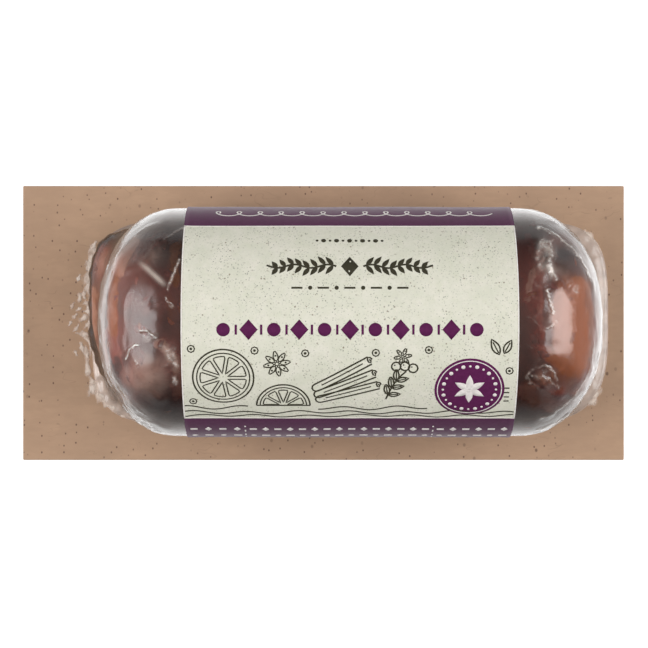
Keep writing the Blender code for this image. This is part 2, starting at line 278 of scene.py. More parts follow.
# Where the coating is warm orange, red, pale or deep in shade under the film: middle x and y, half length
# along x and y, and how strongly
WARM_PATCHES = (
    (-36.8, 3.0, 1.5, 7.8, 0.45),
    (-42.0, 0.5, 1.6, 6.0, 0.45),
    (-34.4, 11.4, 1.6, 3.0, 0.60),
    (-44.0, 3.0, 1.2, 8.0, 0.30),
    (-25.8, 10.6, 1.3, 3.8, 0.30),
    (-26.0, 2.0, 1.4, 3.4, 0.25),
    (-41.0, 12.4, 2.4, 4.0, 0.35),
    (45.0, -0.8, 3.0, 8.8, 0.90),
    (42.4, 6.4, 3.0, 2.4, 0.80),
    (40.6, 0.2, 2.8, 5.6, 0.60),
    (40.8, -5.4, 2.6, 3.0, 0.7),
    (42.4, -9.0, 4.0, 2.8, 0.45),
    (37.6, -9.6, 3.4, 2.0, 0.50),
    (36.2, -14.0, 3.0, 1.6, 0.45),
)
RED_PATCHES = (
    (-37.2, -4.2, 1.5, 4.2, 1.35),
    (-26.2, -6.0, 2.0, 4.0, 1.2),
    (-41.2, 11.5, 3.0, 5.4, 0.5),
    (-31.0, 9.4, 2.6, 4.0, 0.45),
    (-28.5, 2.0, 2.4, 4.0, 0.15),
    (-30.8, -9.6, 3.4, 3.0, 0.55),
    (35.2, 8.6, 1.9, 5.2, 0.9),
    (35.4, 4.4, 1.0, 3.4, 1.0),
    (38.5, -12.8, 5.0, 2.6, 1.1),
    (46.0, -9.6, 2.8, 2.6, 0.8),
    (36.4, -3.4, 1.8, 3.0, 0.55),
    (40.6, 14.6, 3.0, 1.6, 0.6),
)
PALE_PATCHES = (
    (-30.2, -9.4, 4.8, 4.6, 0.95),
    (-29.4, 12.2, 3.2, 3.0, 0.35),
    (-29.0, 4.0, 2.0, 4.0, 0.15),
    (-41.2, 11.0, 1.8, 4.0, 0.60),
    (-41.9, -8.4, 1.6, 3.4, 0.45),
    (-44.2, 2.0, 1.2, 9.0, 0.60),
    (40.6, 0.6, 2.8, 5.0, 0.55),
    (42.8, 5.6, 1.4, 1.4, 0.45),
)
# The shade patches are partly painted shade, such as the shadowed zone beside the crumple at the upper right,
# and partly darker coating
SHADE_PATCHES = (
    (-31.8, 2.6, 2.4, 4.4, 0.55),
    (-28.4, 0.6, 2.2, 4.0, 0.55),
    (-27.2, 13.4, 1.2, 3.8, 0.8),
    (-27.6, -14.6, 5.0, 2.6, 0.75),
    (-36.4, -9.8, 1.8, 2.4, 0.8),
    (-26.4, 0.0, 1.4, 3.6, 0.4),
    (-38.6, 16.0, 4.0, 1.8, 0.8),
    (35.0, 0.6, 1.5, 6.0, 0.20),
    (41.8, 11.2, 3.6, 3.2, 1.00),
    (35.0, -5.6, 1.4, 3.0, 0.2),
)

# Warmth above which no bit of fruit is pressed into the coating
WARM_ENOUGH = 0.25

# Clear-edged streaks in the coating: the points along each, seen from above, its half width, and how warm,
# red, pale and shaded it is
STREAKS = (
    (((-35.9, 11.2), (-36.5, 6.6), (-36.7, 2.2), (-36.7, -1.2)), 1.05, 0.90, 0.15, 0.20, 0.0),
    (((-36.5, 2.0), (-36.5, -3.8), (-35.9, -6.0), (-35.4, -7.4)), 0.95, 0.30, 1.35, 0.08, 0.0),
    # Painted shadow: a dark line where the film leaves the coating inside the left ring
    (((-37.8, 10.6), (-38.1, 4.0), (-38.0, -3.0), (-37.2, -6.8), (-35.9, -8.5)), 0.26, 0.0, 0.0, 0.0, 1.00),
    (((-35.8, -6.4), (-35.2, -7.6)), 0.70, 0.0, 0.70, 0.0, 0.75),
    (((-33.2, 13.8), (-34.7, 11.6), (-35.6, 8.8)), 1.10, 0.75, 0.0, 0.75, 0.0),
    (((-25.2, 13.4), (-25.5, 10.6), (-25.2, 6.8)), 0.70, 0.95, 0.0, 0.25, 0.0),
    (((-27.7, -3.7), (-26.0, -5.0), (-24.9, -7.8)), 0.95, 0.30, 1.20, 0.85, 0.0),
    (((-25.0, -8.2), (-25.0, -12.0)), 0.95, 0.20, 1.00, 0.45, 0.0),
    (((-42.9, 6.0), (-43.2, 1.0), (-42.9, -5.0)), 1.00, 0.60, 0.0, 0.70, 0.0),
    (((-34.8, 18.4), (-39.4, 16.8), (-41.6, 13.4), (-42.5, 8.4)), 0.30, 0.0, 0.20, 0.0, 0.50),
    (((35.5, 8.8), (35.2, 6.2), (35.0, 3.8)), 0.50, 0.0, 1.30, 0.80, 0.0),
    (((35.9, 12.6), (36.6, 8.6)), 0.60, 0.0, 0.90, 0.35, 0.0),
    (((36.6, 5.8), (36.9, 1.0), (36.4, -3.8)), 0.60, 0.0, 0.80, 0.30, 0.0),
    (((40.7, 3.8), (40.7, -4.0)), 1.70, 0.35, 0.30, 0.95, 0.0),
    (((37.6, -5.0), (39.4, -5.6)), 1.10, 0.20, 0.90, 0.20, 0.0),
    (((43.8, 6.6), (44.9, 2.2), (44.9, -3.8), (43.8, -7.8)), 1.60, 1.00, 0.0, 0.06, 0.0),
    (((42.6, 3.4), (43.0, -1.2)), 0.60, 0.70, 0.0, 0.35, 0.0),
    (((39.4, -6.0), (42.2, -8.0)), 1.30, 0.45, 0.90, 0.0, 0.0),
    (((35.4, 14.6), (34.8, 11.2)), 0.90, 0.0, 0.75, 0.0, 0.0),
    (((34.8, -11.6), (39.4, -13.8)), 1.50, 0.20, 1.20, 0.50, 0.0),
    (((34.4, 13.6), (34.6, 8.6)), 1.00, 0.0, 0.80, 0.10, 0.0),
    (((42.0, 2.4), (42.1, -2.2)), 0.30, 0.40, 0.0, 0.50, 0.0),
    (((46.0, 5.4), (46.6, 0.6), (46.2, -5.6)), 0.60, 0.50, 0.30, 0.0, 0.30),
)

# Gap between the log and its film below the widest level, the rows of the film's skirt that tuck in and that
# sweep out under the log, and how many of them the log follows
LOWER_GAP = 0.25
ROWS_TUCKED = 18
ROWS_SWEPT = 18
ROWS_FOLLOWED = 30

# Print on the label, as distances from its middle: along the log, and up the photo round the log's curve
STROKE = 0.28
FINE_STROKE = 0.22
EDGE_LINE = 0.21
PRINT_LIFT = 0.02
PRINT_DEPTH = 0.06
PRINT_STEP = 0.5
BADGE_PLACE = (20.5, -12.3)
BADGE_RADIUS = 6.0
RINGED_DOTS = (
    (-27.0, -4.6),
    (-16.2, -4.9),
    (-7.6, -5.4),
    (4.4, -5.3),
    (13.4, -4.8),
    (27.2, -8.6),
    (-26.9, -14.9),
)

CAMERA_LOOKS_AT = (0.10, -0.19)
FLOOR_HALF = 3000.0
FLOOR_DROP = 0.02

# Softboxes, in metres and radians
SOFTBOX_DISTANCE = 0.70
SOFTBOX_RISE = math.radians(33.0)
SOFTBOX_WIDTH = 0.50
SOFTBOX_HEIGHT = 0.61
SOFTBOX_LEAN = 0.02

# The overhead lamp, in metres
OVERHEAD_HEIGHT = 1.0
OVERHEAD_LENGTH = 1.2
OVERHEAD_WIDTH = 0.5

# How much brighter the mirrored surround is towards +Y, and darker towards -Y
MIRROR_LEAN = 0.34

# Heights of a mirrored ray's direction between which the table brightens towards the pack
TABLE_SPREAD = (-0.80, -0.45)

# How much darker the surround is at the horizon, and by half as much brighter overhead
SKY_SLOPE = 0.5
HORIZON_BLEND = 0.06


class LogSettings(PropertyGroup):
    """The coated cheese log under the film."""

    film_gap: FloatProperty(
        name="Film gap",
        description="How far the coating lies below the film where the two touch",
        default=0.30 * MM,
        min=0.0,
        unit="LENGTH",
        precision=5,
    )
    dark: FloatVectorProperty(
        name="Dark coating",
        description="Colour of the coating where it is deepest",
        subtype="COLOR",
        default=(0.240, 0.105, 0.081),
        min=0.0,
        max=1.0,
    )
    red: FloatVectorProperty(
        name="Red fruit",
        description="Colour of the coating where fruit lies against the film",
        subtype="COLOR",
        default=(0.430, 0.120, 0.086),
        min=0.0,
        max=1.0,
    )
    orange: FloatVectorProperty(
        name="Orange peel",
        description="Colour of the warm patches at the ends",
        subtype="COLOR",
        default=(0.480, 0.148, 0.042),
        min=0.0,
        max=1.0,
    )
    pale: FloatVectorProperty(
        name="Cheese",
        description="Colour of the cheese where it shows through the coating",
        subtype="COLOR",
        default=(0.790, 0.450, 0.345),
        min=0.0,
        max=1.0,
    )
    fruit_bits: IntProperty(
        name="Fruit bits",
        description="How many pieces of fruit and peel are pressed into the coating",
        default=64,
        min=0,
        max=1000,
    )


class FilmSettings(PropertyGroup):
    """The clear film."""

    lift: FloatProperty(
        name="Lift",
        description="How far the film lies outside the solid log, up to the label's underside",
        default=0.25 * MM,
        min=0.0,
        unit="LENGTH",
        precision=5,
    )
    flange: FloatProperty(
        name="Flange",
        description="Width of the film's sealed rim outside its foot",
        default=0.5 * MM,
        min=0.0,
        unit="LENGTH",
        precision=5,
    )
    # The milky colour also paints light: part of the ring's reflection, the highlight on the right foot's
    # fillet and on a wide streak, and light over the shaded gap at the left foot
    milk_and_painted_light: FloatVectorProperty(
        name="Milky film and painted light",
        description="Colour of the film where stretching and folding turn it milky, and of the light painted into it",
        subtype="COLOR",
        default=(0.95, 0.805, 0.700),
        min=0.0,
        max=1.0,
    )
    crushed: FloatVectorProperty(
        name="Crushed film",
        description="Colour of the film along its creases",
        subtype="COLOR",
        default=(0.95, 0.88, 0.82),
        min=0.0,
        max=1.0,
    )


class LabelSettings(PropertyGroup):
    """The printed paper label."""

    band_start: FloatProperty(
        name="Band start",
        description="Angle from the crest at which the dark band begins on either side",
        default=math.radians(54.0),
        subtype="ANGLE",
    )
    wrap: FloatProperty(
        name="Wrap",
        description="Angle from the crest at which the label ends on either side",
        default=math.radians(120.0),
        subtype="ANGLE",
    )
    paper: FloatVectorProperty(
        name="Paper",
        description="Colour of the label's cream paper",
        subtype="COLOR",
        default=(0.762, 0.738, 0.638),
        min=0.0,
        max=1.0,
    )
    band: FloatVectorProperty(
        name="Band",
        description="Colour of the dark band along each side",
        subtype="COLOR",
        default=(0.100, 0.031, 0.077),
        min=0.0,
        max=1.0,
    )
    dark_ink: FloatVectorProperty(
        name="Dark ink",
        description="Colour of the line drawing",
        subtype="COLOR",
        default=(0.050, 0.046, 0.030),
        min=0.0,
        max=1.0,
    )
    purple_ink: FloatVectorProperty(
        name="Purple ink",
        description="Colour of the bold ornament and the round badge",
        subtype="COLOR",
        default=(0.108, 0.018, 0.078),
        min=0.0,
        max=1.0,
    )
    # Painted highlight along the label's cut edges, and the thin pale line where each dark band begins
    edge_highlight_and_band_line: FloatVectorProperty(
        name="Edge highlight and band line",
        description="Colour of the painted highlight along the cut edges and of the line where each band begins",
        subtype="COLOR",
        default=(0.90, 0.84, 0.79),
        min=0.0,
        max=1.0,
    )
    pale_ink: FloatVectorProperty(
        name="Pale ink",
        description="Colour of the ornament on the dark bands and the badge",
        subtype="COLOR",
        default=(0.80, 0.75, 0.72),
        min=0.0,
        max=1.0,
    )


class CardSettings(PropertyGroup):
    """The kraft card."""

    kraft: FloatVectorProperty(
        name="Kraft",
        description="Main colour of the board",
        subtype="COLOR",
        default=(0.495, 0.322, 0.213),
        min=0.0,
        max=1.0,
    )
    fleck: FloatVectorProperty(
        name="Flecks",
        description="Colour of the dark flecks in the board",
        subtype="COLOR",
        default=(0.150, 0.085, 0.060),
        min=0.0,
        max=1.0,
    )


class StageSettings(PropertyGroup):
    """The floor, the light and the camera."""

    floor: FloatVectorProperty(
        name="Floor",
        description="Colour of the floor",
        subtype="COLOR",
        default=(0.88, 0.88, 0.88),
        min=0.0,
        max=1.0,
    )
    glow: FloatProperty(
        name="Floor glow",
        description="Light that comes up through the floor, as from a light table",
        default=0.50,
        min=0.0,
    )
    softbox: FloatProperty(
        name="Softbox",
        description="Brightness of the softbox at either end",
        default=3.35,
        min=0.0,
    )
    surround: FloatProperty(
        name="Surround",
        description="Brightness of the light that comes from above and all round",
        default=0.26,
        min=0.0,
    )
    overhead: FloatProperty(
        name="Overhead lamp",
        description="Power of the wide soft lamp straight above the pack, in watts",
        default=2.2,
        min=0.0,
    )
    bounce: FloatProperty(
        name="Bounce",
        description="Brightness of the light that comes up from the table",
        default=0.60,
        min=0.0,
    )
    mirror: FloatProperty(
        name="Mirrored surround",
        description="Share of the overhead light's brightness that shows in glossy surfaces",
        default=0.64,
        min=0.0,
        max=1.0,
    )
    table: FloatProperty(
        name="Mirrored table",
        description="How many times brighter glossy surfaces mirror the table under the pack",
        default=3.4,
        min=0.0,
    )
    height: FloatProperty(
        name="Camera height",
        description="Height of the camera above the floor",
        default=0.3797,
        unit="LENGTH",
    )
    lens: FloatProperty(
        name="Lens",
        description="Focal length of the camera in millimetres",
        default=111.0,
        min=1.0,
    )


def smooth_step(share):
    """0 up to share 0, 1 from share 1, with an even S between."""
    share = np.clip(share, 0, 1)
    return share * share * (3 - 2 * share)


def ripples(points, wavelength, seed, waves=28):
    """Even random ripples, about -1 to 1: a sum of sine waves that run in random directions, each with a
    length within a third of the wavelength."""
    draw = np.random.default_rng(seed)
    way = draw.normal(size=(waves, 3))
    way /= np.linalg.norm(way, axis=1)[:, None]
    length = wavelength * draw.uniform(0.7, 1.4, waves)
    phase = draw.uniform(0, 2 * math.pi, waves)
    total = np.zeros(points.shape[:-1])
    for one_way, one_length, one_phase in zip(way, length, phase):
        total += np.sin(points @ one_way * (2 * math.pi / one_length) + one_phase)
    return total / math.sqrt(waves)


def patches(x, y, spots):
    """A sum of soft round or oval spots, seen from above, each a bell of its own height."""
    total = np.zeros_like(x)
    for spot_x, spot_y, half_x, half_y, height in spots:
        spread = ((x - spot_x) / half_x) ** 2 + ((y - spot_y) / half_y) ** 2
        total += height * np.exp(-LUMP_STEEPNESS * spread)
    return total


def streaks(points):
    """How warm, red, pale and shaded the streaks make each point of the coating. Each streak is a band about
    a path, full inside its half width, with an uneven edge that fades over a short way."""
    x, y, _ = np.moveaxis(points, -1, 0)
    uneven = 0.22 * ripples(points, 2.4, seed=61) + 0.10 * ripples(points, 0.9, seed=62)
    total = np.zeros((4, *x.shape))
    for path, half_width, *amounts in STREAKS:
        distance = distance_to_path(x, y, rounded(path)) + uneven
        inside = smooth_step((half_width - distance) / (0.25 + 0.35 * half_width) + 0.5)
        total += np.array(amounts)[:, None, None] * inside
    return total


def distance_to_path(x, y, path):
    """The distance from each point, seen from above, to a path of straight stretches."""
    nearest = np.full_like(x, np.inf)
    for (ax, ay), (bx, by) in zip(path[:-1], path[1:]):
        run = (bx - ax) ** 2 + (by - ay) ** 2
        share = np.clip(((x - ax) * (bx - ax) + (y - ay) * (by - ay)) / run, 0, 1)
        nearest = np.minimum(nearest, np.hypot(x - ax - share * (bx - ax), y - ay - share * (by - ay)))
    return nearest


def past_caps(x, left_reach, right_reach):
    """How far x lies past the log's straight middle, as a share of that end's reach."""
    left = (CAP_START_LEFT - x) / left_reach
    right = (x - CAP_START_RIGHT) / right_reach
    return np.maximum(0.0, np.maximum(left, right))


def gauge(x, y, left_reach, right_reach, half_width, power):
    """0 on the log's centre line and 1 on an outline seen from above: straight sides, superellipse ends."""
    past = past_caps(x, left_reach, right_reach)
    return (past**power + np.abs(y / half_width) ** power) ** (1 / power)


def widest_gauge(x, y):
    """The gauge of the log's outline at its widest level."""
    return gauge(x, y, CAP_REACH_LEFT, CAP_REACH_RIGHT, LOG_RADIUS, CAP_PLAN_POWER)


def foot_gauge(x, y):
    """The gauge of the film's foot on the card, whose corners differ in roundness."""
    right = FOOT_POWER_RIGHT_NEAR + (FOOT_POWER_RIGHT_FAR - FOOT_POWER_RIGHT_NEAR) * smooth_step((y + 6) / 12)
    power = np.where(x > 0, right, FOOT_POWER_LEFT)
    return gauge(x, y, FOOT_REACH_LEFT, FOOT_REACH_RIGHT, FOOT_HALF_WIDTH, power)


def distance_to(level, start, way, measure):
    """How far along each ray from the centre line the gauge reaches level, by halving."""
    near = np.zeros(np.broadcast_shapes(np.shape(level), start.shape))
    far = np.full_like(near, CARD_LENGTH)
    for _ in range(HALVINGS):
        middle = (near + far) / 2
        inside = measure(start + middle * way[0], middle * way[1]) < level
        near = np.where(inside, middle, near)
        far = np.where(inside, far, middle)
    return far


def cap_outline(start, reach, count):
    """Points along one cap's outline, evenly spaced from its +Y end to its -Y end."""
    turn = np.linspace(0, math.pi, OUTLINE_SAMPLES)
    x = start + reach * np.sin(turn) ** (2 / CAP_PLAN_POWER)
    y = LOG_RADIUS * np.sign(np.cos(turn)) * np.abs(np.cos(turn)) ** (2 / CAP_PLAN_POWER)
    run = np.concatenate([[0], np.cumsum(np.hypot(np.diff(x), np.diff(y)))])
    wanted = np.linspace(0, run[-1], count)
    return np.interp(wanted, run, x), np.interp(wanted, run, y)


def columns(under_label, per_cap):
    """Where each column of a log surface starts on the centre line and the way it runs out, once round."""
    middle = np.linspace(LABEL_LEFT + COLUMN_START_INSET, LABEL_RIGHT - COLUMN_START_INSET, under_label)
    sides = np.full_like(middle, LOG_RADIUS)
    right_x, right_y = cap_outline(CAP_START_RIGHT, CAP_REACH_RIGHT, per_cap)
    left_x, left_y = cap_outline(CAP_START_LEFT, -CAP_REACH_LEFT, per_cap)
    x = np.concatenate([middle, right_x, middle[::-1], left_x[::-1]])
    y = np.concatenate([sides, right_y, -sides, left_y[::-1]])
    start = np.clip(x, middle[0], middle[-1])
    length = np.hypot(x - start, y)
    return start, ((x - start) / length, y / length)


def upper_surface(start, way, rows):
    """The log from its crest to its widest level: on each ring the gauge is the sine of the turn from the
    crest, and the height follows a circle under the label and a slightly blunter curve over the caps."""
    turn = np.linspace(0, math.pi / 2, rows)[:, None]
    run = distance_to(np.sin(turn), start, way, widest_gauge)
    run[0] = 0
    x = start + run * way[0]
    y = run * way[1]
    share = np.clip(widest_gauge(x, y), 0, 1)
    power = 2 + (CAP_SIDE_POWER - 2) * smooth_step(past_caps(x, CAP_BLEND, CAP_BLEND))
    rise = LOG_RADIUS * np.maximum(1 - share**power, 0) ** (1 / power)
    return np.stack([x, y, AXIS_Z + rise], axis=-1)


def lobe(x, y):
    """How far the settled log bulges out below its widest level, at each end."""
    left = np.clip((CAP_START_LEFT - x) / CAP_REACH_LEFT, 0, 1)
    right = np.clip((x - CAP_START_RIGHT) / CAP_REACH_RIGHT, 0, 1)
    lean = 1 + LOBE_LEAN * y / LOG_RADIUS
    return LOBE_LEFT * lean * left**2 + LOBE_RIGHT * right**2


def fullness(x, y):
    """Where the log's lower part fills the film out to its foot, 0 to 1: round the left end, from its +Y
    shoulder to a little past the middle."""
    left = smooth_step((CAP_START_LEFT - 5.0 - x) / 6.0)
    return left * smooth_step((y + 5.0) / 6.0)


def widest_ring(start, way):
    """At the widest level, the run out from the centre line, the bulge of the lobe below it, and how nearly
    upright the film stands there, 1 round the caps and 0 along the sides."""
    widest = distance_to(1.0, start, way, widest_gauge)
    x = start + widest * way[0]
    y = widest * way[1]
    foot = distance_to(1.0, start, way, foot_gauge)
    full = fullness(x, y)
    bulge = lobe(x, y) * (1 - full) + (foot - widest - FULL_INSET) * full
    upright = np.sqrt(np.clip(past_caps(x, CAP_REACH_LEFT, CAP_REACH_RIGHT), 0, 1))
    return widest, bulge, upright


def film_skirt(start, way, rows_tucked, rows_swept, rows_flange, flange):
    """The film below the widest level: an arc that tucks in under the sides, then a cubic curve that sweeps
    out to the foot, and a flange that settles onto the card."""
    widest, bulge, upright = widest_ring(start, way)
    foot = distance_to(1.0, start, way, foot_gauge)
    tuck = 1 - upright
    share = np.linspace(0, 1, rows_tucked + 1)[1:, None]
    turn = math.pi / 2 + share * (TUCK - math.pi / 2)
    tucked = widest - LOG_RADIUS * tuck * (1 - np.sin(turn)) + bulge * share**2
    tucked_height = AXIS_Z + LOG_RADIUS * np.cos(turn) + 0 * tucked
    guide = tucked[-1] + TUCK_HANDLE * (math.cos(TUCK) * tuck + LOBE_HANDLE * bulge * upright)
    guide_height = tucked_height[-1] - TUCK_HANDLE * math.sin(TUCK)
    share = np.linspace(0, 1, rows_swept + 1)[1:, None]
    back = 1 - share
    w0, w1, w2, w3 = back**3, 3 * back**2 * share, 3 * back * share**2, share**3
    swept = w0 * tucked[-1] + w1 * guide + w2 * (foot - FOOT_FILLET) + w3 * foot
    swept_height = w0 * tucked_height[-1] + w1 * guide_height + (w2 + w3) * FOOT_LIP
    share = np.linspace(0, 1, rows_flange + 1)[1:, None]
    rim = foot + flange * share
    rim_height = CARD_TOP + (FOOT_LIP - CARD_TOP) * (1 - share) ** 2 + 0 * rim
    run = np.concatenate([tucked, swept, rim])
    height = np.concatenate([tucked_height, swept_height, rim_height])
    return np.stack([start + run * way[0], run * way[1], height], axis=-1)


def grid_normals(points):
    """Outward normals of a surface whose columns go once round: the cross product of the steps along its
    rows and columns. The crest, where columns meet, looks straight up."""
    along = np.gradient(points, axis=0)
    across = np.roll(points, -1, axis=1) - np.roll(points, 1, axis=1)
    normal = np.cross(across, along)
    length = np.linalg.norm(normal, axis=-1, keepdims=True)
    normal = normal / np.maximum(length, 1e-9)
    middle = normal[len(points) // 4]
    if np.mean(middle[:, 2]) < 0:
        normal = -normal
    normal[0] = (0.0, 0.0, 1.0)
    return normal


def clear_of_label(x, fade):
    """0 under the label and 1 a little way past either edge of it."""
    clear = np.maximum(LABEL_LEFT - x, x - LABEL_RIGHT) - LUMP_CLEAR_OF_LABEL
    return smooth_step(clear / fade)


def broad_relief(points):
    """The lumps of the coated log, as heights along the surface's normals: the broad ones, and rounded ones
    the size of the fruit in the coating."""
    x, y, z = np.moveaxis(points, -1, 0)
    above = np.clip((z - CARD_TOP - 2.8) / LUMP_FADE_LOW, 0, 1)
    fruit = FRUIT_RELIEF * np.maximum(ripples(points, 4.4, seed=5), 0) ** 1.5
    return (patches(x, y, LUMPS) + fruit) * clear_of_label(x, CAP_BLEND) * above


def rounded(path):
    """A path with its corners cut twice, so that it bends smoothly."""
    path = np.asarray(path, dtype=float)
    for _ in range(2):
        near = path[:-1] * 0.75 + path[1:] * 0.25
        far = path[:-1] * 0.25 + path[1:] * 0.75
        cut = np.stack([near, far], axis=1).reshape(-1, 2)
        path = np.concatenate([path[:1], cut, path[-1:]])
    return path


def fold_path(start, reach, first, last, inset):
    """Points along a cap's outline, inset from it, between two angles in degrees from its +Y end."""
    turn = np.radians(np.linspace(first, last, 14))
    shrink = 1 - inset / LOG_RADIUS
    x = start + reach * shrink * np.abs(np.sin(turn)) ** (2 / CAP_PLAN_POWER)
    y = LOG_RADIUS * shrink * np.sign(np.cos(turn)) * np.abs(np.cos(turn)) ** (2 / CAP_PLAN_POWER)
    return list(zip(x, y))


def creases():
    """Every crease in the film: the ones pressed over the ends, and the folds that run beside the outline."""
    made = [(rounded(path), *sizes) for path, *sizes in CREASES]
    for start, reach, folds in (
        (CAP_START_LEFT, -CAP_REACH_LEFT, LEFT_FOLDS),
        (CAP_START_RIGHT, CAP_REACH_RIGHT, RIGHT_FOLDS),
    ):
        for first, last, inset, half_width, height, whitening in folds:
            made.append((fold_path(start, reach, first, last, inset), half_width, height, whitening))
    return made


def facets(x, y, spot, count, seed):
    """Breaks an oval place into flat-sided facets. Returns their height, which is the distance to the nearest
    of a few scattered points, and how near each place is to an edge between two facets, 0 to 1."""
    spot_x, spot_y, half_x, half_y = spot
    draw = np.random.default_rng(seed)
    first = np.full_like(x, np.inf)
    second = np.full_like(x, np.inf)
    middles = draw.uniform(-1.25, 1.25, (count, 2)) * (half_x, half_y)
    turns = draw.uniform(0, math.pi, count)
    for (middle_x, middle_y), turn in zip(middles, turns):
        across = x - spot_x - middle_x
        up = y - spot_y - middle_y
        long_way = across * math.cos(turn) + up * math.sin(turn)
        short_way = up * math.cos(turn) - across * math.sin(turn)
        distance = np.hypot(long_way * 0.75, short_way * 1.25)
        second = np.minimum(second, np.maximum(first, distance))
        first = np.minimum(first, distance)
    return np.minimum(first, 2.0), np.exp(-(((second - first) / 0.28) ** 2))


def taper(x, y, path):
    """1 about the middle of a path, falling softly to 0 past its two ends."""
    first, last = np.asarray(path[0]), np.asarray(path[-1])
    middle = (first + last) / 2
    half = np.hypot(*(last - first)) / 2
    return np.exp(-((np.hypot(x - middle[0], y - middle[1]) / half) ** 4))


def film_detail(points):
    """Fine relief of the film, how milky it is and how crushed, at each point. Creases are narrow bells
    across a path, and swell and fade along it; the wide one at the upper left of the left end is a painted
    highlight. Crumpled places are crossed by sharp crests. Milkiness grows towards the widest line, early
    along the sides and late round the ends, fades below it, and grows again in the rim at the foot. In the
    ring it is partly a painted reflection, and the rim is a painted highlight at the right foot and partly
    painted light over the shaded gap at the left."""
    x, y, z = np.moveaxis(points, -1, 0)
    wander = 0.10 * ripples(points, 1.3, seed=21) + 0.06 * ripples(points, 0.7, seed=24)
    swell = 0.75 + 0.25 * ripples(points, 2.2, seed=22) + 0.25 * ripples(points, 0.8, seed=25)
    height = np.zeros_like(x)
    crush = np.zeros_like(x)
    milk_and_painted_light = patches(x, y, HAZE) * (0.9 + 0.3 * ripples(points, 2.8, seed=23))
    above = smooth_step((z - AXIS_Z + 6) / 3)
    for path, half_width, tall, whitening in creases():
        wide = half_width > WIDE_CREASE
        bend = 0 if wide else wander
        distance = distance_to_path(x + bend, y + bend, path)
        bell = np.exp(-((distance / half_width) ** 2)) * above * (taper(x, y, path) if wide else swell)
        height += 0.7 * tall * bell
        # A wide crease adds soft whitening to the milk; at the upper left of the left end it is a painted
        # highlight
        if wide:
            milk_and_painted_light += whitening * bell
        else:
            crush += whitening * bell
    for number, (spot_x, spot_y, half_x, half_y, count, tall, whitening) in enumerate(CRUMPLES):
        inside = np.exp(-(((x - spot_x) / half_x) ** 4 + ((y - spot_y) / half_y) ** 4)) * above
        rise, edge = facets(x + wander, y + wander, (spot_x, spot_y, half_x, half_y), count, 40 + number)
        height += tall * (rise - 0.6) * inside
        crush += whitening * edge * inside * swell**2
    milk_and_painted_light *= above
    height *= smooth_step(np.maximum(LABEL_LEFT - x, x - LABEL_RIGHT))
    height += 0.012 * ripples(points, 4.0, seed=8) * clear_of_label(x, 1.0)
    level = widest_gauge(x, y)
    sideways = np.clip(np.abs(y / LOG_RADIUS) / np.maximum(level, 0.1), 0, 1)
    inner = RING_INNER - RING_EARLIER_AT_SIDES * sideways**3
    share = (level - inner) / (1 - inner)
    ring = smooth_step(share * (1 + 2.4 * (1 - sideways**2))) * (0.80 + 0.25 * np.clip(share, 0, 1))
    ring *= smooth_step((z - AXIS_Z + 2) / 6)
    ring *= 1 - patches(x, y, RING_THIN)
    hang = np.clip((AXIS_Z + 9 - z) / 9, 0, 1)
    streaks = 0.90 + (0.10 + 0.08 * hang) * ripples(points * (1, 1, 0.12), 3.4, seed=31)
    to_right = smooth_step((x + ENDS_BLEND) / (2 * ENDS_BLEND))
    wall = smooth_step((AXIS_Z + 1 - z) / 5) * (WALL_MILK + WALL_MORE_RIGHT * to_right)
    # The rim at the left foot is milky film and partly painted light over the shaded gap under it; at the
    # right foot it is a painted highlight on the film's fillet
    left_rim = smooth_step((6 - z) / 4) * (LEFT_RIM_MILK_AND_PAINTED_LIGHT - LEFT_RIM_LESS_BEHIND * smooth_step((y + 3) / 12))
    left_rim += LEFT_LIP_MILK_AND_PAINTED_LIGHT * smooth_step((2.4 - z) / 1.2)
    right_rim = RIGHT_RIM_PAINTED_HIGHLIGHT * smooth_step((3.2 - z) / 1.4)
    rim = left_rim * (1 - to_right) + right_rim * to_right
    ring *= 1 - RING_WEAKER_RIGHT * to_right
    ring *= 1 - 0.10 * smooth_step(y / 12) * sideways
    # The ring's milk is partly a painted reflection of the bright floor along the film's widest line
    milk_and_painted_light += (RING_MILK_AND_PAINTED_REFLECTION * ring + wall) * np.clip(streaks, 0.35, 1.2)
    milk_and_painted_light += rim * (0.92 + 0.10 * ripples(points, 2.6, seed=33))
    return height, np.clip(milk_and_painted_light, 0, MOST_MILK_AND_PAINTED_LIGHT), np.clip(crush, 0, 1)


def pleats(points, widest_run):
    """How far the skirt stands out in pleats: short waves along the foot, deepest near the card and at the
    left end."""
    x, _, z = np.moveaxis(points, -1, 0)
    low = smooth_step((AXIS_Z - 9 - z) / 6) * smooth_step((z - CARD_TOP) / 1.2)
    ends = smooth_step(past_caps(x, CAP_REACH_LEFT, CAP_REACH_RIGHT) * 2 - 0.6)
    wave = np.sin(2 * math.pi * widest_run / 3.1) * np.sin(2 * math.pi * widest_run / 8.3 + 1)
    return np.where(x > 0, 0.08, 0.22) * wave * low * ends


def face_grid(rows, cols, ring):
    """Corner numbers of the four-sided faces of a grid of points, row by row, with the last column joined
    to the first where the surface is a ring."""
    last = cols if ring else cols - 1
    row, col = np.meshgrid(np.arange(rows - 1), np.arange(last), indexing="ij")
    after = (col + 1) % cols
    corners = (row * cols + col, row * cols + after, (row + 1) * cols + after, (row + 1) * cols + col)
    return np.stack([corner.ravel() for corner in corners], axis=1)


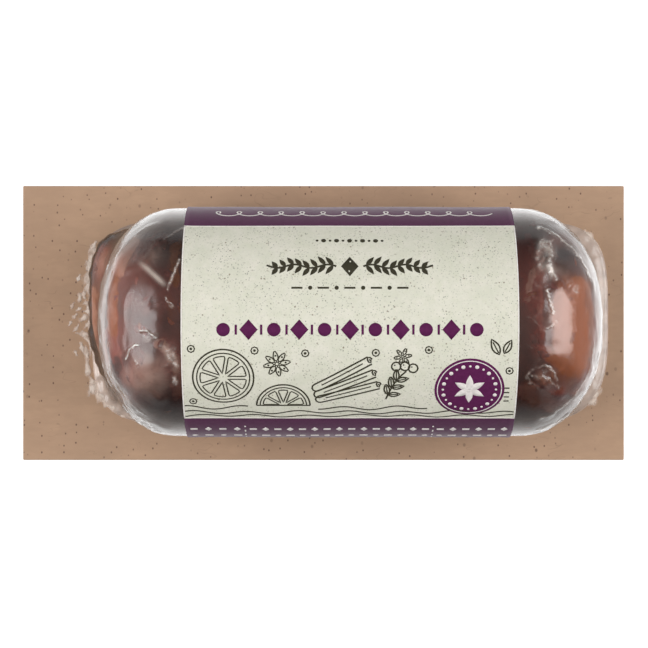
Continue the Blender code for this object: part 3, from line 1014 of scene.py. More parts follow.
def write_mesh(name, points, faces, weld=False):
    """A smooth-shaded mesh from points in millimetres and the corner numbers of its faces. Weld merges
    points that coincide."""
    mesh = bpy.data.meshes.new(name)
    flat = points.reshape(-1, 3) * MM
    count, sides = faces.shape
    mesh.vertices.add(len(flat))
    mesh.vertices.foreach_set("co", flat.ravel())
    mesh.loops.add(count * sides)
    mesh.loops.foreach_set("vertex_index", np.ascontiguousarray(faces).ravel())
    mesh.polygons.add(count)
    mesh.polygons.foreach_set("loop_start", np.arange(count) * sides)
    mesh.update(calc_edges=True)
    mesh.shade_smooth()
    if weld:
        merge_points(mesh)
    return mesh


def merge_points(mesh):
    """Merges points of a mesh that lie on each other, such as those where columns meet at a crest."""
    shape = bmesh.new()
    shape.from_mesh(mesh)
    bmesh.ops.remove_doubles(shape, verts=shape.verts, dist=0.002 * MM)
    bmesh.ops.dissolve_degenerate(shape, edges=shape.edges, dist=0.001 * MM)
    shape.to_mesh(mesh)
    shape.free()


def set_values(mesh, name, values):
    """Keeps one number for each point of a mesh, for its material to read."""
    layer = mesh.attributes.new(name, "FLOAT", "POINT")
    layer.data.foreach_set("value", np.ascontiguousarray(values, dtype=np.float32).ravel())


def add_piece(name, mesh, material_slot, *materials):
    """A finished piece that rides on the pack's body and takes the materials it is given. The material slot
    it is given is not used.
    """
    piece = bpy.data.objects.new(name, mesh)
    bpy.context.scene.collection.objects.link(piece)
    for one in materials:
        mesh.materials.append(one)
    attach(piece, BODY)
    return piece


class Shades:
    """A small helper that adds and joins the nodes of one material."""

    def __init__(self, name):
        self.material = bpy.data.materials.new(name)
        self.material.use_nodes = True
        self.tree = self.material.node_tree
        self.shader = self.tree.nodes["Principled BSDF"]
        self.output = self.tree.nodes["Material Output"]
        self.place = self.tree.nodes.new("ShaderNodeTexCoord").outputs["Object"]

    def add(self, kind, **settings):
        node = self.tree.nodes.new(kind)
        for key, value in settings.items():
            setattr(node, key, value)
        return node

    def join(self, source, target):
        self.tree.links.new(source, target)

    def stretched(self, scale):
        """The object's coordinates, scaled by a different amount along each axis."""
        mapping = self.add("ShaderNodeMapping")
        mapping.inputs["Scale"].default_value = scale
        self.join(self.place, mapping.inputs["Vector"])
        return mapping.outputs["Vector"]

    def noise(self, scale, detail=3.0, roughness=0.55, distortion=0.0, place=None):
        node = self.add("ShaderNodeTexNoise")
        node.inputs["Scale"].default_value = scale
        node.inputs["Detail"].default_value = detail
        node.inputs["Roughness"].default_value = roughness
        node.inputs["Distortion"].default_value = distortion
        self.join(place or self.place, node.inputs["Vector"])
        return node.outputs["Fac"]

    def cells(self, scale, output="Distance", place=None):
        node = self.add("ShaderNodeTexVoronoi")
        node.inputs["Scale"].default_value = scale
        self.join(place or self.place, node.inputs["Vector"])
        return node.outputs[output]

    def attribute(self, name):
        return self.add("ShaderNodeAttribute", attribute_name=name).outputs["Fac"]

    def spread(self, value, low, high, to_low=0.0, to_high=1.0):
        """A value carried from one range to another and held at its ends."""
        node = self.add("ShaderNodeMapRange")
        node.inputs["From Min"].default_value = low
        node.inputs["From Max"].default_value = high
        node.inputs["To Min"].default_value = to_low
        node.inputs["To Max"].default_value = to_high
        self.join(value, node.inputs["Value"])
        return node.outputs["Result"]

    def math(self, operation, first, second):
        node = self.add("ShaderNodeMath", operation=operation)
        for value, socket in ((first, node.inputs[0]), (second, node.inputs[1])):
            if isinstance(value, (int, float)):
                socket.default_value = value
            else:
                self.join(value, socket)
        return node.outputs[0]

    def mix(self, share, first, second):
        """Two colours mixed by a share. A colour is three numbers or another node's output."""
        node = self.add("ShaderNodeMix", data_type="RGBA")
        self.join(share, node.inputs["Factor"])
        for colour, socket in ((first, node.inputs["A"]), (second, node.inputs["B"])):
            self.colour(colour, socket)
        return node.outputs["Result"]

    def colour(self, colour, socket):
        if isinstance(colour, bpy.types.NodeSocket):
            self.join(colour, socket)
        else:
            socket.default_value = (*colour, 1.0)

    def bump(self, height, distance, strength=1.0):
        """Raises the surface by a height of 0 to 1, at most by a distance in millimetres."""
        node = self.add("ShaderNodeBump")
        node.inputs["Distance"].default_value = distance * MM
        node.inputs["Strength"].default_value = strength
        self.join(height, node.inputs["Height"])
        self.join(node.outputs["Normal"], self.shader.inputs["Normal"])
        return node.outputs["Normal"]

    def finish(self, base, roughness, specular=0.5):
        """Gives the shader its colour and its roughness, which may be a number or a node's output."""
        self.colour(base, self.shader.inputs["Base Color"])
        if isinstance(roughness, bpy.types.NodeSocket):
            self.join(roughness, self.shader.inputs["Roughness"])
        else:
            self.shader.inputs["Roughness"].default_value = roughness
        self.shader.inputs["Specular IOR Level"].default_value = specular
        return self.material


def scaled(colour, share):
    """A colour made lighter or darker by a share."""
    return tuple(min(1.0, part * share) for part in colour)


def kraft_board(settings):
    """Uncoated brown board: soft mottling, long pale and dark fibres, and small dark flecks."""
    m = Shades("kraft board")
    kraft = tuple(settings.kraft)
    mottle = m.spread(m.noise(70, detail=4), 0.35, 0.65)
    base = m.mix(mottle, scaled(kraft, 0.93), scaled(kraft, 1.06))
    grain = m.spread(m.noise(900, detail=2, place=m.stretched((0.35, 1.0, 1.0))), 0.4, 0.6)
    base = m.mix(m.math("MULTIPLY", grain, 0.30), base, scaled(kraft, 0.86))
    thread = m.noise(260, detail=1, distortion=1.2, place=m.stretched((0.55, 1.3, 1.0)))
    line = m.spread(m.math("ABSOLUTE", m.math("SUBTRACT", thread, 0.5), 0.0), 0.012, 0.0)
    some = m.spread(m.noise(120, detail=1), 0.56, 0.62)
    base = m.mix(m.math("MULTIPLY", m.math("MULTIPLY", line, some), 0.5), base, scaled(kraft, 0.62))
    for scale, few, strength in ((900, 0.30, 0.9), (520, 0.70, 0.8)):
        place = m.stretched((1.0, 0.75, 1.0))
        dot = m.spread(m.cells(scale, place=place), 0.17, 0.10)
        pick = m.add("ShaderNodeSeparateColor")
        m.join(m.cells(scale, output="Color", place=place), pick.inputs["Color"])
        chosen = m.spread(pick.outputs["Red"], few, few + 0.3)
        shown = m.math("MULTIPLY", m.math("MULTIPLY", dot, chosen), strength)
        base = m.mix(shown, base, tuple(settings.fleck))
    m.bump(m.noise(1400, detail=3), 0.03, strength=0.5)
    return m.finish(base, m.spread(mottle, 0, 1, 0.66, 0.8), specular=0.3)


def fruit_coating(settings):
    """Wet fruit and spice under film. Redness, warmth, paleness and shade kept on the mesh lead the colour,
    and soft noise breaks each into clouds and streaks, with a few fine dark grains."""
    m = Shades("fruit and spice coating")
    colours = (settings.dark, settings.red, settings.orange, settings.pale)
    dark, red, orange, pale = (tuple(colour) for colour in colours)
    cloud = m.noise(230, detail=4, roughness=0.6, distortion=0.5)
    broad = m.noise(120, detail=3, distortion=0.4)
    streak = m.noise(380, detail=3, distortion=0.7, place=m.stretched((1.0, 0.4, 0.7)))
    redness = m.math("ADD", m.attribute("redness"), m.spread(broad, 0.35, 0.70, -0.05, 0.60))
    base = m.mix(m.spread(redness, 0.05, 1.0), dark, red)
    warmth = m.math("ADD", m.attribute("warmth"), m.spread(streak, 0.35, 0.65, -0.22, 0.14))
    base = m.mix(m.spread(warmth, 0.10, 1.0, 0.0, 0.92), base, orange)
    paleness = m.math("ADD", m.attribute("paleness"), m.spread(cloud, 0.3, 0.7, 0.26, -0.38))
    base = m.mix(m.spread(paleness, 0.10, 1.0, 0.0, 0.8), base, pale)
    # Darkening towards deep brown from the shade kept on the mesh: partly painted shade, partly darker
    # coating
    shade = m.math("ADD", m.attribute("shade"), m.spread(cloud, 0.35, 0.65, -0.2, 0.2))
    base = m.mix(m.spread(shade, 0.1, 1.0, 0.0, 0.75), base, scaled(dark, 0.42))
    grain = m.spread(m.cells(1100), 0.16, 0.06)
    base = m.mix(m.math("MULTIPLY", grain, 0.45), base, scaled(dark, 0.5))
    m.bump(cloud, 0.20, strength=0.5)
    return m.finish(base, m.spread(streak, 0.3, 0.7, 0.5, 0.7), specular=0.2)


def fruit_bit_finish(name, light, deep):
    """A wet piece of fruit or peel, lighter and deeper by turns over its skin."""
    m = Shades(name)
    cloud = m.spread(m.noise(700, detail=3), 0.35, 0.65)
    base = m.mix(cloud, light, deep)
    m.bump(m.noise(1600, detail=2), 0.06, strength=0.6)
    return m.finish(base, m.spread(cloud, 0, 1, 0.35, 0.55), specular=0.3)


def label_paper(settings):
    """Cream recycled paper with soft mottling, dark and greenish flecks and short fibres."""
    m = Shades("cream label paper")
    paper = tuple(settings.paper)
    mottle = m.spread(m.noise(260, detail=5, roughness=0.65), 0.35, 0.65)
    greener = (paper[0] * 0.925, paper[1] * 0.955, paper[2] * 0.915)
    base = m.mix(mottle, greener, scaled(paper, 1.035))
    pulp = m.spread(m.noise(950, detail=4, roughness=0.65), 0.46, 0.66)
    fibre = (paper[0] * 0.90, paper[1] * 0.93, paper[2] * 0.86)
    base = m.mix(m.math("MULTIPLY", pulp, 0.55), base, fibre)
    grain = m.spread(m.noise(2200, detail=2), 0.35, 0.65)
    base = m.mix(m.math("MULTIPLY", grain, 0.16), base, scaled(paper, 0.82))
    thread = m.noise(330, detail=1, distortion=1.5)
    line = m.spread(m.math("ABSOLUTE", m.math("SUBTRACT", thread, 0.5), 0.0), 0.010, 0.0)
    some = m.spread(m.noise(210, detail=1), 0.58, 0.63)
    base = m.mix(m.math("MULTIPLY", m.math("MULTIPLY", line, some), 0.30), base, scaled(paper, 0.60))
    cluster = m.spread(m.noise(280, detail=2), 0.40, 0.58, 0.25, 1.0)
    for scale, few, tint, strength in (
        (2600, 0.10, (0.26, 0.27, 0.20), 0.65),
        (2000, 0.25, (0.16, 0.16, 0.11), 0.75),
        (1450, 0.60, (0.20, 0.14, 0.09), 0.80),
    ):
        dot = m.spread(m.cells(scale), 0.27, 0.15)
        pick = m.add("ShaderNodeSeparateColor")
        m.join(m.cells(scale, output="Color"), pick.inputs["Color"])
        chosen = m.math("MULTIPLY", m.spread(pick.outputs["Green"], few, few + 0.3), cluster)
        base = m.mix(m.math("MULTIPLY", m.math("MULTIPLY", dot, chosen), strength), base, tint)
    m.bump(m.noise(1800, detail=4), 0.02, strength=0.45)
    return m.finish(base, m.spread(mottle, 0, 1, 0.55, 0.68), specular=0.3)


def printed_ink(name, colour, roughness=0.42):
    """Ink on paper: a little uneven, with the paper's fine grain in its surface."""
    m = Shades(name)
    cover = m.spread(m.noise(1500, detail=4, roughness=0.7), 0.3, 0.7)
    base = m.mix(cover, scaled(colour, 0.88), scaled(colour, 1.14))
    m.bump(m.noise(1800, detail=4), 0.015, strength=0.2)
    m.shader.inputs["Sheen Weight"].default_value = 0.03
    m.shader.inputs["Sheen Tint"].default_value = (1.0, 0.84, 0.80, 1.0)
    m.shader.inputs["Specular Tint"].default_value = (1.0, 0.86, 0.83, 1.0)
    m.shader.inputs["Sheen Roughness"].default_value = 0.3
    return m.finish(base, m.spread(cover, 0, 1, roughness - 0.04, roughness + 0.06), specular=0.05)


def clear_film(settings):
    """Clear vacuum film: a mirror-like skin whose gloss grows towards its edges, and a milky share where the
    mesh says that the film is stretched or creased. In the ring that share is partly a painted reflection,
    and in the rims and one wide streak it is painted highlight and painted light."""
    m = Shades("clear film")
    warm = (settings.milk_and_painted_light[0] * 0.84, settings.milk_and_painted_light[1] * 0.77, settings.milk_and_painted_light[2] * 0.74)
    crush = m.attribute("crush")
    base = m.mix(m.attribute("low"), tuple(settings.milk_and_painted_light), warm)
    base = m.mix(m.spread(crush, 0.0, 0.5), base, tuple(settings.crushed))
    m.finish(base, 0.32, specular=0.5)
    m.shader.inputs["Coat Weight"].default_value = 1.0
    m.shader.inputs["Coat Roughness"].default_value = 0.10
    bumped = m.bump(m.noise(650, detail=2), 0.012, strength=0.5)
    see_through = m.add("ShaderNodeBsdfTransparent")
    see_through.inputs["Color"].default_value = (0.96, 0.955, 0.95, 1.0)
    gloss = m.add("ShaderNodeBsdfGlossy")
    gloss.inputs["Roughness"].default_value = 0.235
    m.join(bumped, gloss.inputs["Normal"])
    edge = m.add("ShaderNodeFresnel")
    edge.inputs["IOR"].default_value = 1.87
    m.join(bumped, edge.inputs["Normal"])
    clear = m.add("ShaderNodeMixShader")
    m.join(edge.outputs["Fac"], clear.inputs["Fac"])
    m.join(see_through.outputs["BSDF"], clear.inputs[1])
    m.join(gloss.outputs["BSDF"], clear.inputs[2])
    cloudy = m.spread(m.noise(300, detail=3), 0.3, 0.7, 0.75, 1.15)
    whole = m.add("ShaderNodeMixShader")
    broken = m.spread(m.noise(1500, detail=3, roughness=0.7), 0.36, 0.64, 0.30, 1.25)
    cover = m.math("ADD", m.math("MULTIPLY", m.attribute("milk_and_painted_light"), cloudy), m.math("MULTIPLY", crush, broken))
    m.join(m.spread(cover, 0.0, 0.95, 0.0, 0.95), whole.inputs["Fac"])
    m.join(clear.outputs["Shader"], whole.inputs[1])
    m.join(m.shader.outputs["BSDF"], whole.inputs[2])
    m.join(whole.outputs["Shader"], m.output.inputs["Surface"])
    return m.material


def puckered_film_with_painted_glints():
    """Film puckered on the card: whitish on its crests, a painted glint of the light that its bubbles and
    wrinkles catch, and clear where it thins out towards its rims.
    """
    m = Shades("puckered film with painted glints")
    cloud = m.noise(620, detail=3, roughness=0.6, distortion=0.4)
    streak = m.noise(1100, detail=3, distortion=0.6, place=m.stretched((1.6, 0.6, 1.0)))
    # Whitish crests: painted glints of light off the film's bubbles and wrinkles
    m.finish(m.mix(m.spread(cloud, 0.3, 0.7), (0.84, 0.67, 0.56), (0.97, 0.86, 0.76)), 0.4, specular=0.4)
    m.bump(streak, 0.02, strength=0.3)
    torn = m.math("ADD", m.spread(cloud, 0.3, 0.7, -0.16, 0.14), m.spread(streak, 0.3, 0.7, -0.30, 0.22))
    thick = m.math("ADD", m.attribute("crest"), torn)
    see_through = m.add("ShaderNodeBsdfTransparent")
    whole = m.add("ShaderNodeMixShader")
    m.join(m.spread(thick, 0.15, 1.0, 0.0, 0.88), whole.inputs["Fac"])
    m.join(see_through.outputs["BSDF"], whole.inputs[1])
    m.join(m.shader.outputs["BSDF"], whole.inputs[2])
    m.join(whole.outputs["Shader"], m.output.inputs["Surface"])
    return m.material


def settings_of(context):
    return context.scene.cheese_pack


class PACK_OT_coated_log(Operator):
    """Makes the coated cheese log that lies under the film"""

    bl_idname = "cheese_pack.coated_log"
    bl_label = "Coated log"

    def execute(self, context):
        settings = settings_of(context).log
        gap = settings.film_gap / MM
        start, way = columns(under_label=12, per_cap=210)
        upper = upper_surface(start, way, rows=100)
        normals = grid_normals(upper)
        upper = upper + normals * (broad_relief(upper + (0, AXIS_Y, 0)) - gap)[..., None]
        lower = self.underside(start, way, upper[-1])
        points = np.concatenate([upper, lower]) + (0, AXIS_Y, 0)
        points[..., 2] = np.maximum(points[..., 2], CARD_TOP + 0.05)
        faces = face_grid(points.shape[0], points.shape[1], ring=True)
        mesh = write_mesh("coated_cheese_log", points, faces)
        x, y, _ = np.moveaxis(points, -1, 0)
        spots = (WARM_PATCHES, RED_PATCHES, PALE_PATCHES, SHADE_PATCHES)
        for name, spot, streak in zip(("warmth", "redness", "paleness", "shade"), spots, streaks(points)):
            set_values(mesh, name, patches(x, y, spot) + streak)
        merge_points(mesh)
        add_piece("coated_cheese_log", mesh, LOG_NODE, fruit_coating(settings))
        return {"FINISHED"}

    @staticmethod
    def underside(start, way, rim):
        """The log below its widest level: it follows the film down to where the film leaves it, and from
        there each column curls in to the base, or follows the film on down where the log fills its foot."""
        rim_run = np.hypot(rim[:, 0] - start, rim[:, 1])
        skirt = film_skirt(start, way, ROWS_TUCKED, ROWS_SWEPT, 1, 0.0)[:ROWS_FOLLOWED]
        share = np.linspace(0, 1, ROWS_FOLLOWED + 1)[1:, None]
        skirt_run = np.hypot(skirt[..., 0] - start, skirt[..., 1])
        widest, _, _ = widest_ring(start, way)
        full = fullness(start + widest * way[0], widest * way[1])
        height = rim[:, 2] + (skirt[..., 2] - AXIS_Z) * (rim[:, 2] - CARD_TOP) / (AXIS_Z - CARD_TOP)
        follow = skirt_run + (rim_run - widest) * (1 - share) - LOWER_GAP * share
        base = CARD_TOP + 0.1
        leave = skirt[ROWS_TUCKED - 1, :, 2]
        below = np.clip((leave - skirt[..., 2]) / (leave - base), 0, 1)
        curl = follow[ROWS_TUCKED - 1] * (1 - below**2) ** 0.3
        run = np.where(below > 0, curl * (1 - full) + follow * full, follow)
        share = np.linspace(1, 0, 6)[1:, None]
        run = np.concatenate([run, run[-1] * share])
        height = np.concatenate([height, np.full((5, len(start)), base)])
        return np.stack([start + run * way[0], run * way[1], height], axis=-1)


class PACK_OT_fruit_bits(Operator):
    """Presses pieces of red fruit and orange peel into the coating"""

    bl_idname = "cheese_pack.fruit_bits"
    bl_label = "Fruit bits"

    def execute(self, context):
        settings = settings_of(context).log
        log = bpy.data.objects["coated_cheese_log"].data
        places = np.empty(len(log.vertices) * 3)
        normals = np.empty(len(log.vertices) * 3)
        log.vertices.foreach_get("co", places)
        log.vertices.foreach_get("normal", normals)
        places = places.reshape(-1, 3) / MM
        normals = normals.reshape(-1, 3)
        outside = np.maximum(LABEL_LEFT - places[:, 0], places[:, 0] - LABEL_RIGHT) > -0.5
        calm = patches(places[:, 0], places[:, 1], WARM_PATCHES) < WARM_ENOUGH
        shown = np.flatnonzero(outside & calm & (places[:, 2] > CARD_TOP + 5))
        draw = np.random.default_rng(77)
        chosen = draw.choice(shown, settings.fruit_bits, replace=False)
        peel = draw.random(len(chosen)) < 0.35
        for name, pick, sizes, finish in (
            (
                "red_fruit_bits",
                chosen[~peel],
                ((0.9, 1.8), (0.6, 1.1), 0.40),
                fruit_bit_finish("red fruit", scaled(settings.red, 0.95), scaled(settings.dark, 1.1)),
            ),
            (
                "orange_peel_bits",
                chosen[peel],
                ((0.8, 1.6), (0.40, 0.7), 0.36),
                fruit_bit_finish("orange peel", scaled(settings.orange, 0.80), scaled(settings.red, 1.2)),
            ),
        ):
            mesh = self.bits(name, places[pick], normals[pick], sizes, draw)
            add_piece(name, mesh, LOG_NODE, finish)
        return {"FINISHED"}

    @staticmethod
    def bits(name, middles, normals, sizes, draw):
        """Rounded bits joined in one mesh. Each is a ball pressed flat against the log, with a long and a
        short half length of its own, turned at random about the log's normal and a little lumpy."""
        rows, cols = 7, 12
        up = np.linspace(0, math.pi, rows)[:, None]
        round_way = np.linspace(0, 2 * math.pi, cols, endpoint=False)
        ball = np.stack(
            [np.sin(up) * np.cos(round_way), np.sin(up) * np.sin(round_way), np.cos(up) + 0 * round_way], -1
        )
        count = len(middles)
        spin = draw.uniform(0, 2 * math.pi, count)
        side = np.cross(normals, (0.0, 1.0, 0.02))
        side /= np.linalg.norm(side, axis=1)[:, None]
        other = np.cross(normals, side)
        long_way = side * np.cos(spin)[:, None] + other * np.sin(spin)[:, None]
        short_way = np.cross(normals, long_way)
        (long_low, long_high), (short_low, short_high), thick = sizes
        lumpy = 1 + 0.12 * draw.normal(size=(count, rows, cols))
        lumpy[:, 0] = 1
        lumpy[:, -1] = 1
        shape = ball[None] * lumpy[..., None]
        points = middles[:, None, None] - normals[:, None, None] * (0.7 * thick)
        points = points + long_way[:, None, None] * shape[..., :1] * draw.uniform(
            long_low, long_high, count
        ).reshape(-1, 1, 1, 1)
        points = points + short_way[:, None, None] * shape[..., 1:2] * draw.uniform(
            short_low, short_high, count
        ).reshape(-1, 1, 1, 1)
        points = points + normals[:, None, None] * shape[..., 2:] * thick
        one = face_grid(rows, cols, ring=True)
        faces = (one[None] + (np.arange(count) * rows * cols)[:, None, None]).reshape(-1, 4)
        mesh = write_mesh(name, points, faces, weld=True)
        point_outwards(mesh)
        return mesh


def point_outwards(mesh):
    """Turns the faces of closed shapes to look outwards."""
    shape = bmesh.new()
    shape.from_mesh(mesh)
    bmesh.ops.recalc_face_normals(shape, faces=shape.faces)
    shape.to_mesh(mesh)
    shape.free()


class PACK_OT_film(Operator):
    """Draws the clear film over the log and down to the card"""

    bl_idname = "cheese_pack.film"
    bl_label = "Clear film"

    def execute(self, context):
        settings = settings_of(context).film
        start, way = columns(under_label=12, per_cap=250)
        upper = upper_surface(start, way, rows=118)
        skirt = film_skirt(start, way, 22, 22, 6, settings.flange / MM)
        points = np.concatenate([upper, skirt])
        normals = grid_normals(points)
        placed = points + (0, AXIS_Y, 0)
        widest = upper[-1]
        step = np.linalg.norm(np.diff(widest, axis=0, append=widest[:1]), axis=1)
        along = np.cumsum(step)[None] + 0 * points[..., 0]
        height, milk_and_painted_light, crush = film_detail(placed)
        relief = broad_relief(placed) + height + pleats(placed, along)
        settle = smooth_step((points[..., 2] - CARD_TOP) / 0.5)
        relief = (relief + settings.lift / MM) * settle
        placed = placed + normals * relief[..., None]
        placed[..., 2] = np.maximum(placed[..., 2], CARD_TOP + 0.02)
        faces = face_grid(points.shape[0], points.shape[1], ring=True)
        mesh = write_mesh("clear_film", placed, faces)
        set_values(mesh, "milk_and_painted_light", milk_and_painted_light)
        set_values(mesh, "crush", crush)
        set_values(mesh, "low", smooth_step((10 - placed[..., 2]) / 6))
        merge_points(mesh)
        film = add_piece("clear_film", mesh, LOG_NODE, clear_film(settings))
        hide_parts(LOG_NODE)
        return {"FINISHED"}


class PACK_OT_seal_puckers(Operator):
    """Puckers the sealed film beside the left foot"""

    bl_idname = "cheese_pack.seal_puckers"
    bl_label = "Seal puckers"

    def execute(self, context):
        rows, cols = 11, 21
        points, crest = [], []
        for number, (x, y, turn, length, width, height) in enumerate(SEAL_PUCKERS):
            one, high = self.pucker(x, y, math.radians(turn), length, width, height, number, rows, cols)
            points.append(one)
            crest.append(high)
        points = np.array(points)
        one = face_grid(rows, cols, ring=False)
        faces = (one[None] + (np.arange(len(points)) * rows * cols)[:, None, None]).reshape(-1, 4)
        mesh = write_mesh("seal_puckers", points, faces)
        set_values(mesh, "crest", np.array(crest))
        add_piece("seal_puckers", mesh, LOG_NODE, puckered_film_with_painted_glints())
        return {"FINISHED"}

    @staticmethod
    def pucker(x, y, turn, length, width, height, number, rows, cols):
        """A long low blister on the card: its height is a hump across and a flattened bell along, its line
        bends a little, and its width swells and narrows."""
        draw = np.random.default_rng(500 + number)
        along = np.linspace(-1, 1, cols)[None]
        across = np.linspace(-1, 1, rows)[:, None]
        bend = draw.uniform(-0.30, 0.30)
        phase = draw.uniform(0, 2 * math.pi)
        girth = np.sqrt(np.clip(1 - along**2, 0, 1)) * (1.15 + 0.40 * np.sin(6 * along + phase))
        flat_x = along * length * PUCKER_LENGTH + 0 * across
        flat_y = across * girth * width * PUCKER_WIDTH + bend * (along**2 - 0.4) * min(length, 3.0) / 2
        high = (1 - across**2) * (1 - along**4)
        soft = (1 - across**2) ** 1.6 * (1 - along**2)
        inside = foot_gauge(np.array(x), np.array(y - AXIS_Y)) < 1.03
        base = CARD_TOP + (FOOT_LIP - CARD_TOP + 0.1) * inside - 0.01
        points = np.stack(
            [
                x + flat_x * math.cos(turn) - flat_y * math.sin(turn),
                y + flat_x * math.sin(turn) + flat_y * math.cos(turn),
                base + PUCKER_RISE * height * high,
            ],
            axis=-1,
        )
        return points, soft


def paper_ripple(along, round_way):
    """How far the wrapped paper stands off a true cylinder: slow waves, and edges that lift a little."""
    waves = 0.035 * np.sin(along / 4.7 + 0.6 * np.sin(round_way / 5)) * np.cos(round_way / 6.3 + 1)
    edge = (LABEL_RIGHT - LABEL_LEFT) / 2 - np.abs(along)
    return waves + 0.04 * np.exp(-((edge / 1.2) ** 2)) - 0.04


def wrap(flat, lift=0.0):
    """Wraps flat label points round the log. A point's first number is its distance along the log from the
    label's middle, and its second the distance up round the curve from the crest."""
    along, round_way = flat[..., 0], flat[..., 1]
    radius = LABEL_RADIUS + paper_ripple(along, round_way) + lift
    angle = round_way / LABEL_RADIUS
    return np.stack(
        [LABEL_MIDDLE + along, AXIS_Y + radius * np.sin(angle), AXIS_Z + radius * np.cos(angle)], axis=-1
    )


class PACK_OT_label(Operator):
    """Wraps the paper label round the log"""

    bl_idname = "cheese_pack.label"
    bl_label = "Paper label"

    def execute(self, context):
        settings = settings_of(context).label
        degrees = round(math.degrees(settings.wrap))
        rows = 2 * degrees + 1
        cols = 61
        half = (LABEL_RIGHT - LABEL_LEFT) / 2
        along = np.linspace(-half, half, cols)[None] + np.zeros((rows, 1))
        turn = np.linspace(-settings.wrap, settings.wrap, rows)[:, None] + np.zeros((1, cols))
        points = wrap(np.stack([along, turn * LABEL_RADIUS], axis=-1))
        faces = face_grid(rows, cols, ring=False)
        mesh = write_mesh("printed_label", points, faces)
        middle = (turn[:-1, :-1] + turn[1:, 1:]) / 2
        band = (np.abs(middle) > settings.band_start).astype(np.int32)
        mesh.polygons.foreach_set("material_index", band.ravel())
        paper = label_paper(settings)
        purple = printed_ink("purple band", tuple(settings.band), roughness=0.42)
        label = add_piece("printed_label", mesh, LABEL_NODE, paper, purple)
        sheet = label.modifiers.new("paper thickness", "SOLIDIFY")
        sheet.thickness = LABEL_THICKNESS * MM
        sheet.offset = -1.0
        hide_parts(LABEL_NODE)
        return {"FINISHED"}


def resampled(points, step=PRINT_STEP):
    """Points at even steps along a path."""
    points = np.asarray(points, dtype=float)
    run = np.concatenate([[0], np.cumsum(np.linalg.norm(np.diff(points, axis=0), axis=1))])
    count = max(2, math.ceil(run[-1] / step) + 1)
    wanted = np.linspace(0, run[-1], count)
    return np.stack([np.interp(wanted, run, points[:, 0]), np.interp(wanted, run, points[:, 1])], axis=1)


def stroke(points, width=STROKE):
    """A line of ink: the strip between two paths, half a width to either side of the points. A path that
    ends where it began is joined up."""
    points = resampled(points)
    closed = np.allclose(points[0], points[-1])
    tangent = np.gradient(points, axis=0)
    if closed:
        tangent[0] = tangent[-1] = points[1] - points[-2]
    normal = np.stack([-tangent[:, 1], tangent[:, 0]], axis=1)
    normal /= np.maximum(np.linalg.norm(normal, axis=1), 1e-9)[:, None]
    return np.stack([points + normal * width / 2, points - normal * width / 2])


def solid(upper, lower, across=2):
    """A filled shape: the surface between an upper and a lower edge, each a row of points."""
    share = np.linspace(0, 1, across + 1)[:, None, None]
    return np.asarray(upper)[None] * (1 - share) + np.asarray(lower)[None] * share


def turned(points, x, y, degrees=0.0, size=1.0):
    """Points turned, scaled and moved to a place on the label."""
    angle = math.radians(degrees)
    points = np.asarray(points, dtype=float) * size
    across = points[..., 0] * math.cos(angle) - points[..., 1] * math.sin(angle)
    up = points[..., 0] * math.sin(angle) + points[..., 1] * math.cos(angle)
    return np.stack([x + across, y + up], axis=-1)


def arc(radius, first, last, count=None):
    """Points along an arc about the origin, between two angles in degrees."""
    count = count or max(8, int(abs(last - first) * radius / 18) + 6)
    angle = np.radians(np.linspace(first, last, count))
    return np.stack([radius * np.cos(angle), radius * np.sin(angle)], axis=1)


def disc(x, y, radius, across=2):
    """A filled circle, as the surface between its upper and lower halves."""
    upper = arc(radius, 180, 0, 25)
    return turned(solid(upper, upper * (1, -1), across), x, y)


def lozenge(x, y, half_width, half_height):
    """A filled diamond with straight sides."""
    along = np.linspace(-1, 1, 9)
    upper = np.stack([along * half_width, (1 - np.abs(along)) * half_height], axis=1)
    return turned(solid(upper, upper * (1, -1)), x, y)


def bar(x, y, half_width, half_height):
    """A filled upright or flat bar."""
    along = np.linspace(-half_width, half_width, 5)
    upper = np.stack([along, np.full(5, half_height)], axis=1)
    return turned(solid(upper, upper * (1, -1), 3), x, y)


def leaf(x, y, degrees, length, width):
    """A filled leaf: two bows from its stalk to its tip."""
    along = np.linspace(0, 1, 11)
    bow = np.sin(math.pi * along**0.8) * width / 2
    upper = np.stack([along * length, bow], axis=1)
    return turned(solid(upper, upper * (1, -1)), x, y, degrees)


def leaf_outline(x, y, degrees, length, width):
    """A leaf drawn in line, with its midrib."""
    along = np.linspace(0, 1, 15)
    bow = np.sin(math.pi * along**0.85) * width / 2
    upper = np.stack([along * length, bow], axis=1)
    edge = np.concatenate([upper, (upper * (1, -1))[::-1]])
    midrib = [(0.1 * length, 0), (0.8 * length, 0)]
    return [stroke(turned(edge, x, y, degrees)), stroke(turned(midrib, x, y, degrees), FINE_STROKE)]


def fruit_slice(x, y, radius, first=0.0, last=360.0, segments=9):
    """A slice of citrus in line: the rind, the ring inside it, and a rounded wedge for each segment."""
    made = [stroke(turned(arc(radius, first, last), x, y))]
    made.append(stroke(turned(arc(radius * 0.87, first, last), x, y), FINE_STROKE))
    step = (last - first) / segments
    for number in range(segments):
        low = first + number * step + step * 0.10
        high = first + (number + 1) * step - step * 0.10
        rim = arc(radius * 0.76, low, high)
        middle = math.radians((low + high) / 2)
        tip = np.array([[math.cos(middle), math.sin(middle)]]) * radius * 0.16
        wedge = np.concatenate([tip, rim, tip])
        made.append(stroke(turned(wedge, x, y), FINE_STROKE))
    return made


